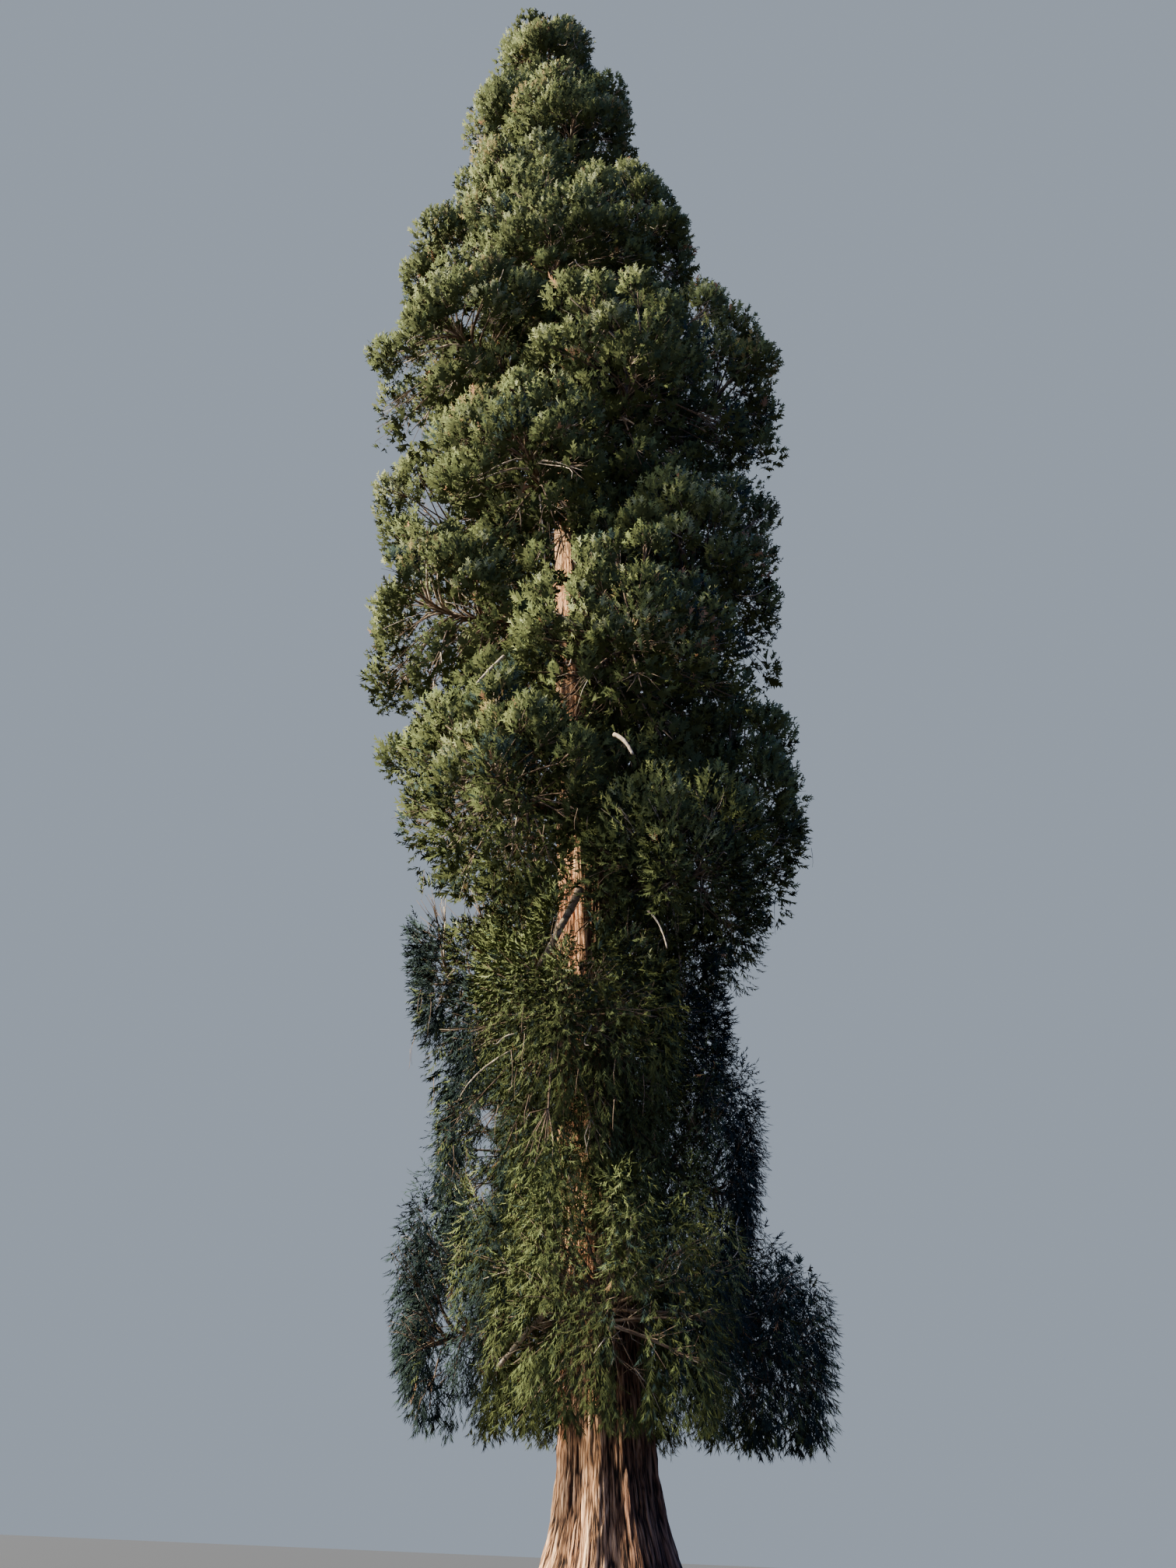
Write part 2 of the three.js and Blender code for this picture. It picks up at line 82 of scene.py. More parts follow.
class Flow:
    """A number that flows through a material. Sums and products with it add Math nodes."""

    def __init__(self, finish, socket):
        self.finish = finish
        self.socket = socket

    def math(self, operation, other, turned=False):
        """One Math node on this and another number, the other way round if turned."""
        pair = (other, self) if turned else (self, other)
        return self.finish.node("ShaderNodeMath", {"operation": operation}, {0: pair[0], 1: pair[1]})

    def __add__(self, other):
        return self.math("ADD", other)

    def __sub__(self, other):
        return self.math("SUBTRACT", other)

    def __rsub__(self, other):
        return self.math("SUBTRACT", other, turned=True)

    def __mul__(self, other):
        return self.math("MULTIPLY", other)

    __radd__ = __add__
    __rmul__ = __mul__


class Finish:
    """A material in the making. Its shader's own values are set once, and node() adds what varies."""

    def __init__(self, name, colour, roughness, specular=0.3):
        self.material = bpy.data.materials.new(name)
        self.material.use_nodes = True
        self.material.diffuse_color = colour
        self.tree = self.material.node_tree
        self.shader = self.tree.nodes["Principled BSDF"]
        self.shader.inputs["Base Color"].default_value = colour
        self.shader.inputs["Roughness"].default_value = roughness
        self.shader.inputs["Specular IOR Level"].default_value = specular

    def node(self, kind, settings=None, sockets=None, output=0):
        """Adds a node: its settings first, a ramp's stops among them, then its sockets' values or links."""
        made = self.tree.nodes.new(kind)
        for name, value in (settings or {}).items():
            if name == "stops":
                set_stops(made.color_ramp, value)
            else:
                setattr(made, name, value)
        for name, value in (sockets or {}).items():
            if isinstance(value, Flow):
                self.tree.links.new(value.socket, made.inputs[name])
            else:
                made.inputs[name].default_value = value
        return Flow(self, made.outputs[output])

    def blend(self, way, share, a, b):
        """Mixes two colours in one of the Mix node's ways."""
        settings = {"data_type": "RGBA", "blend_type": way}
        return self.node("ShaderNodeMix", settings, {0: share, 6: a, 7: b}, output=2)

    def bump(self, height, strength, distance):
        """Lets a height raise and sink the surface by up to distance, in metres."""
        sockets = {"Height": height, "Strength": strength, "Distance": distance}
        self.feed("Normal", self.node("ShaderNodeBump", None, sockets, output="Normal"))

    def feed(self, name, flow):
        """Links a flow to one of the shader's own sockets."""
        self.tree.links.new(flow.socket, self.shader.inputs[name])


def set_stops(ramp, stops):
    """Gives a colour ramp its stops: (place, colour) from left to right."""
    while len(ramp.elements) < len(stops):
        ramp.elements.new(1.0)
    for element, (place, colour) in zip(ramp.elements, stops):
        element.position = place
        element.color = colour


def mesh_object(name, points, faces, finishes, tones=None, normals=None):
    """A mesh object at the origin, from points (n, 3) and faces, a list of arrays (m, 3) or (m, 4) of
    corner numbers. tones gives each face the number of its finish, normals each point the way it is lit."""
    corners = np.concatenate([f.ravel() for f in faces]).astype(np.int32)
    sizes = np.concatenate([np.full(len(f), f.shape[1]) for f in faces])
    starts = np.concatenate([[0], np.cumsum(sizes)[:-1]]).astype(np.int32)
    mesh = bpy.data.meshes.new(name)
    mesh.vertices.add(len(points))
    mesh.vertices.foreach_set("co", points.astype(np.float32).ravel())
    mesh.loops.add(len(corners))
    mesh.loops.foreach_set("vertex_index", corners)
    mesh.polygons.add(len(starts))
    mesh.polygons.foreach_set("loop_start", starts)
    for finish in finishes:
        mesh.materials.append(finish.material)
    if tones is not None:
        mesh.polygons.foreach_set("material_index", tones.astype(np.int32))
    mesh.polygons.foreach_set("use_smooth", np.full(len(starts), True))
    mesh.update(calc_edges=True)
    if normals is not None:
        mesh.normals_split_custom_set_from_vertices(normals.astype(np.float32))
    made = bpy.data.objects.new(name, mesh)
    bpy.context.scene.collection.objects.link(made)
    return made


floor_finish = Finish("floor_pale", FLOOR_COLOUR, 0.9)
floor_points = FLOOR_HALF * np.array([[-1, -1, 0], [1, -1, 0], [1, 1, 0], [-1, 1, 0]])
floor = mesh_object("floor", floor_points, [np.array([[0, 1, 2, 3]])], [floor_finish])

for light_name, strength, colour, softness, height, bearing in [
    ("sun", SUN_STRENGTH, SUN_COLOUR, SUN_SOFTNESS, SUN_HEIGHT, SUN_BEARING),
    ("glow", GLOW_STRENGTH, GLOW_COLOUR, GLOW_SOFTNESS, GLOW_HEIGHT, GLOW_BEARING),
]:
    light = bpy.data.objects.new(light_name, bpy.data.lights.new(light_name, "SUN"))
    light.data.energy = strength
    light.data.color = colour
    light.data.angle = softness
    light.rotation_euler = (math.pi / 2 - height, 0, bearing + math.pi / 2)
    bpy.context.scene.collection.objects.link(light)

# The camera sees an even pale surround, and a bluer one lights the shade.
world = bpy.data.worlds.new("surround")
world.use_nodes = True
fill = world.node_tree.nodes["Background"]
seen = world.node_tree.nodes.new("ShaderNodeBackground")
for background, colour, strength in [(fill, FILL, FILL_STRENGTH), (seen, SURROUND, SURROUND_STRENGTH)]:
    background.inputs["Color"].default_value = colour
    background.inputs["Strength"].default_value = strength
ray = world.node_tree.nodes.new("ShaderNodeLightPath")
either = world.node_tree.nodes.new("ShaderNodeMixShader")
world.node_tree.links.new(ray.outputs["Is Camera Ray"], either.inputs[0])
world.node_tree.links.new(fill.outputs[0], either.inputs[1])
world.node_tree.links.new(seen.outputs[0], either.inputs[2])
world.node_tree.links.new(either.outputs[0], world.node_tree.nodes["World Output"].inputs["Surface"])
bpy.context.scene.world = world


# The trunk. One living column of soft red-brown wood under bark that is a hand thick: long fibrous
# ridges that part and meet again round deep furrows. It leans a little to the left, and swells into
# buttresses at the ground.
HEIGHT = 36.4
LEAN = 2.7  # how far left of the foot the trunk's line ends at full height
LEAN_POWER = 1.1
TRUNK_TOP = 33.9
TRUNK_RADIUS = 0.7  # at the ground, without the root flare
TAPER_POWER = 0.95
FLARE = 0.9
FLARE_HEIGHT = 1.1
FLARE_POWER = 1.47
BUTTRESSES = 7
BUTTRESS_DEPTH = 0.2  # share of the flare
BUTTRESS_TURN = 0.6
FLUTES = 11
FLUTE_DEPTH = 0.035  # share of the trunk's radius
FLUTE_TURN = 1.3
TRUNK_SIDES = 420
TRUNK_RINGS = 235
RING_POWER = 2.0  # rings stand closer together near the ground
RIDGE_WIDTH = 0.058
RIDGE_STRETCH = 9.0  # a ridge is this many times as tall as it is wide
RIDGE_SWAY = 0.045  # metres that ridges wander to the side
NARROW_RIDGES = 1.8  # others among them are this many times narrower
NARROW_SHARE = 0.32
FURROW_DEPTH = 0.055  # metres at the foot
SHALLOW_SHARE = 0.33  # of that is left from this height up
SHALLOW_FROM = HEIGHT / 1.6
THIN_RADIUS = 0.15  # furrows are shallower, too, where the trunk gets near this thin
FIBRE_DEPTH = 0.008
FIBRE_SIZE = (0.032, 0.032, 0.48)
FOLDS = [  # upright hollows: turn and width in degrees, and depth as a share of the radius
    (20, 11, 0.07),
    (62, 9, 0.06),
    (103, 12, 0.08),
    (146, 9, 0.06),
    (188, 8, 0.04),
    (229, 8, 0.09),
    (284, 14, 0.1),
    (318, 10, 0.06),
]
FOLD_FADE = 6.0  # metres up
FOLD_SWAY = 4.0  # degrees
# how much darker the bark is drawn in the folds: painted shade
FOLD_SHADE = 1.8
YOUNG_LIGHT = 1.15  # how light young bark is, against 1 for an old ridge
YOUNG_SHARE = 0.8
YOUNG_FROM = HEIGHT / 2.2
RELIEF_LIGHT = 1.1
SHADE_SIDE = 2  # degrees: the side away from the sun, where the bark is painted darker: painted shade
SHADE_EDGE = 0.25
SHADE_TINT = (0.36, 0.34, 0.36, 1)
FLARE_GRAIN = 2.1  # on the flare the ridges split, so that there are this many times more of them
BARK_COLOUR = (0.24, 0.13, 0.075, 1)
BARK_ROUGHNESS = 0.92
BARK_RELIEF = 0.035  # metres
BARK_STOPS = [
    (0.0, (0.006, 0.003, 0.002, 1)),
    (0.3, (0.03, 0.012, 0.006, 1)),
    (0.6, (0.35, 0.175, 0.088, 1)),
    (1.0, (0.9, 0.56, 0.33, 1)),
]
BARK_RED = (0.3, 0.09, 0.035, 1)
RED_SHARE = 0.55
RED_EDGE = (0.5, 0.75)  # noise at which a red patch begins, and at which it is fully red
STRIPS = (26.0, 2.0)  # scale and detail of the noise
FIBRES = (75.0, 5.0)
PATCHES = (1.3, 3.0)
STREAK_STRETCH = (1, 1, 0.075)  # draws noise out along the grain
PATCH_STRETCH = (1, 1, 0.3)
CRACK_WIDTH = 0.12


def mix(a, b, share):
    """The value at a share of the way from a to b."""
    return a + (b - a) * share


def eased(share):
    """A share that leaves 0 and comes to 1 slowly: three times its square less twice its cube."""
    return share * share * (3 - 2 * share)


def level_way(angle):
    """The level direction at an angle, turned from the tree's right."""
    return np.stack([np.cos(angle), np.sin(angle), 0 * angle], -1)


def hashed(a, b=0.0, c=0.0):
    """Scatter between 0 and 1, the same on every run: the fraction left by a large sine."""
    x = np.sin(a * 12.9898 + b * 78.233 + c * 37.719 + 4.1414) * 43758.5453
    return x - np.floor(x)


def noise(p):
    """Smooth noise between 0 and 1 at points (n, 3): hashed numbers on a lattice of unit cubes, eased
    from corner to corner."""
    cell = np.floor(p)
    f = eased(p - cell)
    total = 0
    for i in (0, 1):
        for j in (0, 1):
            for k in (0, 1):
                weight = np.abs(1 - i - f[..., 0]) * np.abs(1 - j - f[..., 1]) * np.abs(1 - k - f[..., 2])
                total = total + weight * hashed(cell[..., 0] + i, cell[..., 1] + j, cell[..., 2] + k)
    return total


def axis_at(z):
    """The trunk's line: it leans steadily to the left."""
    z = np.asarray(z, float)
    return np.stack([-LEAN * (np.maximum(z, 0) / HEIGHT) ** LEAN_POWER, 0 * z, z], -1)


def taper_at(z):
    """The trunk's radius without flare and flutes: it shrinks almost steadily to nothing at the top."""
    return TRUNK_RADIUS * (1 - z / HEIGHT) ** TAPER_POWER


def trunk_radius(z, angle):
    """A slow taper, a flare that swells into buttresses at the ground, and shallow flutes above it."""
    taper = taper_at(z)
    flare = FLARE * np.exp(-((z / FLARE_HEIGHT) ** FLARE_POWER))
    buttress = 1 + BUTTRESS_DEPTH * np.cos(BUTTRESSES * angle + BUTTRESS_TURN)
    flute = 1 + FLUTE_DEPTH * np.cos(FLUTES * angle + FLUTE_TURN)
    return taper * flute + flare * buttress


def ridges(p, width):
    """Bark relief between 0 in a furrow and 1 on a ridge: how far stretched noise is from its middle
    value, so that furrows run along meandering upright lines that meet and part."""
    slow = p * (2, 2, 0.9)
    sway = np.stack([noise(slow), noise(slow + 5.1), 0 * p[..., 2]], -1) - 0.5
    q = (p + sway * 2 * RIDGE_SWAY) / (width, width, width * RIDGE_STRETCH)
    return np.minimum(np.abs(2 * noise(q) - 1) * 2.0, 1) ** 0.8


def grid_faces(rows, columns):
    """The quads of a closed band of rows rings with columns points each."""
    ring = np.arange(columns)
    low = np.arange(rows - 1)[:, None] * columns
    a = low + ring
    b = low + np.roll(ring, -1)
    return np.stack([a, b, b + columns, a + columns], -1).reshape(-1, 4)


def cap_faces(ring, centre, upwards):
    """The triangles from a ring's points to a centre point."""
    after = np.roll(ring, -1)
    pair = (ring, after) if upwards else (after, ring)
    return np.stack([*pair, np.full(len(ring), centre)], -1)


heights = TRUNK_TOP * np.linspace(0, 1, TRUNK_RINGS) ** RING_POWER
angles = np.linspace(0, 2 * np.pi, TRUNK_SIDES, endpoint=False)
trunk_z, trunk_angle = np.meshgrid(heights, angles, indexing="ij")
trunk_bare = trunk_radius(trunk_z, trunk_angle)
trunk_way = level_way(trunk_angle)

# The grain: each point's place on a trunk without the flare, so that ridges run straight down over the
# buttresses. A second, finer one takes over on the flare.
trunk_up = np.stack([0 * trunk_z, 0 * trunk_z, trunk_z], -1)
grain = trunk_way * taper_at(trunk_z)[..., None] + trunk_up
flare_grain = trunk_way * taper_at(trunk_z)[..., None] * FLARE_GRAIN + trunk_up
flare_share = eased(np.clip(1.1 - trunk_z / FLARE_HEIGHT, 0, 1))
reliefs = []
for lines in (grain, flare_grain):
    broad = ridges(lines, RIDGE_WIDTH)
    narrow = ridges(lines + 7.3, RIDGE_WIDTH / NARROW_RIDGES)
    reliefs.append((1 - NARROW_SHARE) * broad + NARROW_SHARE * narrow * broad)
relief = mix(*reliefs, flare_share)

# The skin: furrows sink into it, fibres roughen it, and folds hollow it out near the foot.
fibre = noise(grain / FIBRE_SIZE) - 0.5
depth = FURROW_DEPTH * mix(1, SHALLOW_SHARE, np.minimum(trunk_z / SHALLOW_FROM, 1))
depth = depth * trunk_bare / (trunk_bare + THIN_RADIUS)
trunk_out = trunk_bare + (relief - 0.75) * depth + fibre * FIBRE_DEPTH
folded = 0
for turn, width, fold_depth in FOLDS:
    sway = FOLD_SWAY * np.sin(trunk_z * 1.3 + turn)
    off = (np.degrees(trunk_angle) - turn - sway + 180) % 360 - 180
    folded = folded + fold_depth * np.exp(-((off / width) ** 2) - trunk_z / FOLD_FADE)
trunk_out -= folded * trunk_bare
trunk_points = trunk_way * trunk_out[..., None] + axis_at(trunk_z)
trunk_points = np.concatenate([trunk_points.reshape(-1, 3), axis_at([0.0, TRUNK_TOP])])
trunk_count = TRUNK_SIDES * TRUNK_RINGS
trunk_faces = [
    grid_faces(TRUNK_RINGS, TRUNK_SIDES),
    cap_faces(np.arange(TRUNK_SIDES), trunk_count, False),
    cap_faces(np.arange(trunk_count - TRUNK_SIDES, trunk_count), trunk_count + 1, True),
]


def bark_finish():
    """Furrowed bark: dark in the furrows, cracks and folds, which is partly the bark's own colour and partly
    painted shade, tan on the ridges, with red patches, fine fibres, and a side away from the sun that is
    painted darker as painted shade. It reads the relief and the grain from the trunk's attributes."""
    bark = Finish("furrowed_bark", BARK_COLOUR, BARK_ROUGHNESS)
    level, flared, damp = [
        bark.node("ShaderNodeAttribute", {"attribute_name": name}, output="Fac")
        for name in ("relief", "flared", "damp")
    ]
    grains = [
        bark.node("ShaderNodeAttribute", {"attribute_name": name}, output="Vector")
        for name in ("grain", "flare_grain")
    ]

    def stretched(place, stretch, scale, detail):
        """Noise drawn out upwards."""
        drawn = bark.node("ShaderNodeMapping", None, {"Vector": place, "Scale": stretch})
        return bark.node("ShaderNodeTexNoise", None, {"Vector": drawn, "Scale": scale, "Detail": detail})

    def streaks(scale, detail):
        """Noise drawn out along the grain, which changes to the finer grain on the flare."""
        plain, fine = [stretched(place, STREAK_STRETCH, scale, detail) for place in grains]
        return plain * (1 - flared) + fine * flared

    strips = streaks(*STRIPS)
    fibres = streaks(*FIBRES)
    from_furrow = (strips - 0.5).math("ABSOLUTE", 0.0)
    cracks = bark.node("ShaderNodeMapRange", None, {"Value": from_furrow, "From Max": CRACK_WIDTH})
    # Dark in the furrows and cracks: partly the bark's own colour, partly painted shade.
    shade = level * 0.45 + cracks * 0.45 + (fibres - 0.5) * 0.8 + 0.06
    tones = bark.node("ShaderNodeValToRGB", {"stops": BARK_STOPS}, {"Fac": shade})
    patches = stretched(bark.node("ShaderNodeTexCoord", output="Object"), PATCH_STRETCH, *PATCHES)
    sockets = {"Value": patches, "From Min": RED_EDGE[0], "From Max": RED_EDGE[1]}
    redness = bark.node("ShaderNodeMapRange", None, sockets)
    colour = bark.blend("OVERLAY", redness * RED_SHARE, tones, BARK_RED)
    # Painted shade: the side away from the sun is drawn darker by this tint.
    bark.feed("Base Color", bark.blend("MULTIPLY", damp, colour, SHADE_TINT))
    bark.bump(cracks * 0.6 + fibres, 0.8, BARK_RELIEF)
    return bark


trunk = mesh_object("trunk_bark", trunk_points, trunk_faces, [bark_finish()])
# The lightness that the bark's colour reads: lighter young bark aloft, and painted shade in the folds.
lightness = mix(relief, YOUNG_LIGHT, YOUNG_SHARE * np.minimum(trunk_z / YOUNG_FROM, 1))
lightness = lightness * RELIEF_LIGHT - folded * FOLD_SHADE
# Painted shade on the side away from the sun: the bark there is drawn darker.
side_shade = np.clip(0.5 + np.cos(trunk_angle - math.radians(SHADE_SIDE)) / SHADE_EDGE, 0, 1)
for attribute, values in (("relief", lightness), ("flared", flare_share), ("damp", side_shade)):
    values = np.append(values.ravel(), [0.5, 0.5])  # the last two are the middles of the caps
    trunk.data.attributes.new(attribute, "FLOAT", "POINT").data.foreach_set("value", values)
for attribute, lines in (("grain", grain), ("flare_grain", flare_grain)):
    lines = np.vstack([lines.reshape(-1, 3), [(0, 0, 0), (0, 0, TRUNK_TOP)]])
    trunk.data.attributes.new(attribute, "FLOAT_VECTOR", "POINT").data.foreach_set("vector", lines.ravel())
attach(trunk, "root")
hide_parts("trunk")


# The crown's plan. Foliage grows in rounded masses between the trunk and the crown's outline: a level
# ring of four at the bottom, then a rising spiral, and two upright masses that end the tree.
GROUND_GAP = 2.85  # the lowest foliage hangs this high
LOWEST_DROP = 1.25  # the lowest boughs come down this far to their foliage
HIGHEST_RISE = 0.9  # the highest go up this far
BOUGH_COUNT = 14  # masses carried by a bough that shows, counted from the ground
RING_COUNT = 4
RING_Z = 4.0
RING_HALF_HEIGHT = 1.5
SPIRAL_COUNT = 38
SPIRAL_LOW = 5.95
SPIRAL_HIGH = 33.7
SPIRAL_POWER = 0.92
SPIRAL_FIRST = 348  # degrees
GOLDEN_ANGLE = 180 * (3 - math.sqrt(5))
INNER_CLEAR = 0.3  # bare stretch of limb between the trunk and a mass, where the crown is widest
FULLNESS = 1.9  # half width of a mass against half the space it has round the trunk
HANG = 1.1  # masses hang further down than they stand up
HEIGHT_SCATTER = 0.26
BEARING_SCATTER = 9  # degrees
ROUNDNESS = 3  # 2 is an ellipsoid, more is fuller at the corners
CELL_GAP = 0.05  # between the spaces of two masses
ENTRY_SHARE = 0.88  # where a limb ends and the mass's own stem begins
HALVINGS = 12
UP = np.array([0.0, 0.0, 1.0])

# The crown's outline from the ground up: height, and reach from the trunk's line to the right and left.
OUTLINE = np.array([
    (2.85, 3.0, 2.6),
    (3.7, 3.35, 3.1),
    (4.7, 3.3, 3.2),
    (5.6, 2.4, 3.1),
    (7.6, 2.85, 3.25),
    (8.9, 2.5, 2.95),
    (10.0, 3.1, 3.2),
    (11.6, 4.25, 3.35),
    (13.2, 3.8, 3.7),
    (14.8, 3.95, 4.4),
    (17.4, 3.95, 3.85),
    (19.8, 4.2, 4.1),
    (21.7, 4.75, 4.45),
    (23.6, 4.2, 3.4),
    (25.3, 3.65, 3.8),
    (27.2, 2.95, 2.6),
    (29.5, 2.55, 2.65),
    (31.7, 2.1, 2.15),
    (33.6, 1.7, 1.65),
    (35.0, 1.15, 1.3),
    (36.4, 0.75, 0.8),
])
WIDEST = OUTLINE[:, 1].max()

# The two upright masses: how far each stands from the trunk's line, its top and its half sizes.
TOPS = [("top_right", 0.46, 36.4, 1.35, 0.9), ("top_left", -0.54, 36.2, 1.3, 0.85)]


def crown_reach(z, bearing):
    """How far the crown reaches at a height and bearing: its right or left reach, easing to their mean
    at front and back."""
    right = np.interp(z, OUTLINE[:, 0], OUTLINE[:, 1])
    left = np.interp(z, OUTLINE[:, 0], OUTLINE[:, 2])
    level = np.cos(bearing)
    return mix((right + left) / 2, np.where(level > 0, right, left), np.abs(level))


class Mass:
    """A rounded space of foliage: its centre, its own directions outwards and sideways, its half sizes,
    and the foot of its limb on the trunk's line."""

    def __init__(self, name, seed, centre, out, halves, foot, has_bough):
        self.name = name
        self.seed = seed
        self.centre = centre
        self.out = out
        self.side = np.array([-out[1], out[0], 0])
        self.along, self.across, self.up, self.down = halves
        self.foot = foot
        self.has_bough = has_bough
        self.size = (self.along * self.across * self.up) ** (1 / 3)

    def reach(self, ways):
        """How far the space reaches from its centre in directions (n, 3): the root of summed powers of
        each direction's shares of the half sizes, cut at the walls and at the crown's outline."""
        parts = np.abs(np.stack([ways @ self.out, ways @ self.side, ways[:, 2]], -1))
        tall = np.where(ways[:, 2] > 0, self.up, self.down)
        halves = np.stack([0 * tall + self.along, 0 * tall + self.across, tall], -1)
        reach = ((parts / halves) ** ROUNDNESS).sum(-1) ** (-1 / ROUNDNESS)
        facing = ways @ self.walls.T
        to_walls = np.where(facing > 1e-6, self.distances / np.maximum(facing, 1e-6), np.inf)
        reach = np.minimum(reach, to_walls.min(-1))
        within = 0 * reach
        beyond = reach.copy()
        for step in range(HALVINGS):
            middle = beyond if step == 0 else (within + beyond) / 2
            fits = inside_crown(self.centre + ways * middle[:, None])
            within = np.where(fits, middle, within)
            beyond = np.where(fits, beyond, middle)
        return within


def inside_crown(points):
    """Whether points are nearer to the trunk's line than the crown reaches there, and neither under the
    lowest foliage nor over the top."""
    foot = axis_at(points[:, 2])
    away = points - foot
    inside = np.hypot(away[:, 0], away[:, 1]) < crown_reach(points[:, 2], np.arctan2(away[:, 1], away[:, 0]))
    return inside & (points[:, 2] > GROUND_GAP) & (points[:, 2] < HEIGHT)


def mass_at(index, z, degrees, room, half_height=None):
    """One mass of the ring or the spiral. room is the stretch of height that it has to itself, so its
    width follows from the way round the trunk that is left to it."""
    bearing = math.radians(degrees)
    reach = crown_reach(z, bearing)
    inner = trunk_radius(z, bearing) + INNER_CLEAR * reach / WIDEST
    along = (reach - inner) / 2
    half = math.sqrt(2 * math.pi * (reach - along) * room) / 2 * FULLNESS
    tall = half_height or half
    rise = (z - RING_Z) / (SPIRAL_HIGH - RING_Z)
    out = level_way(bearing)
    centre = axis_at(z) + out * (reach - along)
    foot = axis_at(z + mix(LOWEST_DROP, -HIGHEST_RISE, rise))
    halves = (along, half, tall, tall * HANG)
    return Mass(f"{index + 1:02d}", index * 7 + 1, centre, out, halves, foot, index < BOUGH_COUNT)


def spiral_height(i):
    """The height of a mass of the spiral: each step is a little smaller than the one below."""
    return mix(SPIRAL_LOW, SPIRAL_HIGH, (i / (SPIRAL_COUNT - 1)) ** SPIRAL_POWER)


masses = [
    mass_at(i, RING_Z, 90 * i, RING_HALF_HEIGHT * 2 / RING_COUNT, RING_HALF_HEIGHT) for i in range(RING_COUNT)
]
for i in range(SPIRAL_COUNT):
    spiral_room = spiral_height(max(i, 1)) - spiral_height(max(i, 1) - 1)
    spiral_z = spiral_height(i) + (hashed(i + 3) - 0.5) * 2 * HEIGHT_SCATTER
    spiral_degrees = SPIRAL_FIRST + i * GOLDEN_ANGLE + (hashed(i + 50) - 0.5) * 2 * BEARING_SCATTER
    masses.append(mass_at(RING_COUNT + i, spiral_z, spiral_degrees, spiral_room))
for i, (top_name, offset, top_z, half_height, half_width) in enumerate(TOPS):
    top_centre = axis_at(top_z - half_height) + (offset, 0, 0)
    top_out = np.array([math.copysign(1, offset), 0, 0])
    top_halves = (half_width, half_width, half_height, half_height)
    masses.append(Mass(top_name, 400 + i, top_centre, top_out, top_halves, axis_at(TRUNK_TOP - 0.15), False))

# Two masses share the space between them at a plane, further from the larger one.
for mass in masses:
    others = [other for other in masses if other is not mass]
    apart = np.array([other.centre - mass.centre for other in others])
    length = np.linalg.norm(apart, axis=1)
    sizes = np.array([other.size for other in others])
    mass.walls = apart / length[:, None]
    mass.distances = (length**2 + mass.size**2 - sizes**2) / (2 * length) - CELL_GAP / 2


def solids_of(names):
    """The plain solids of the masses with these names."""
    solids = sorted(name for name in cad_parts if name.startswith("foliage_"))
    return [solid for solid in solids if solid.removeprefix("foliage_").startswith(tuple(names))]


# The limbs. The lowest boughs show between trunk and foliage: grey-brown, rough, as thick as a leg.
# Inside the foliage each goes on as a thinner limb, from which a branch grows to every tuft of it.
BOUGH_FOOT_RADIUS = 0.12
BOUGH_TIP_RADIUS = 0.062
BOUGH_SIDES = 20
BOUGH_STEPS = 36
BOUGH_SWELL = 0.8  # how much thicker a bough is where it leaves the trunk, as a share of its radius
BOUGH_RELIEF = 0.012
LIMB_SIDES = 8
LIMB_STEPS = 14
LIMB_TIP_RADIUS = 0.016
LIMB_REACH = 0.62  # of the mass's reach
FULL_SIZE = 1.8  # a mass of this mean half width has a limb as thick as a bough's tip
LIMB_LEAST = 0.35  # and the smallest mass has one this share as thick
LIMB_RELIEF = 0.006
LIMB_ROUGHNESS = 0.88
ROUGHNESS_SIZE = 0.05  # metres from one swelling of rough bark to the next
DROOP_BELOW = 15.0  # metres: under this height foliage hangs more and more
DROOP_FULL = 6.0
LIMB_STOPS = [
    (0.2, (0.03, 0.018, 0.012, 1)),
    (0.5, (0.14, 0.09, 0.06, 1)),
    (0.85, (0.36, 0.27, 0.19, 1)),
]


def droop_at(z):
    """How much foliage hangs, from 0 in the upper crown to 1 in the lowest masses."""
    return eased(np.clip((DROOP_BELOW - z) / (DROOP_BELOW - DROOP_FULL), 0, 1))


def unit(v):
    """Directions scaled to length 1."""
    return v / np.linalg.norm(v, axis=-1, keepdims=True)


def bezier(controls, steps):
    """Points (n, steps + 1, 3) along cubic curves from four control points each, (n, 4, 3)."""
    t = np.linspace(0, 1, steps + 1)
    weights = np.stack([(1 - t) ** 3, 3 * t * (1 - t) ** 2, 3 * t * t * (1 - t), t**3])
    return np.einsum("kt,nkd->ntd", weights, controls)


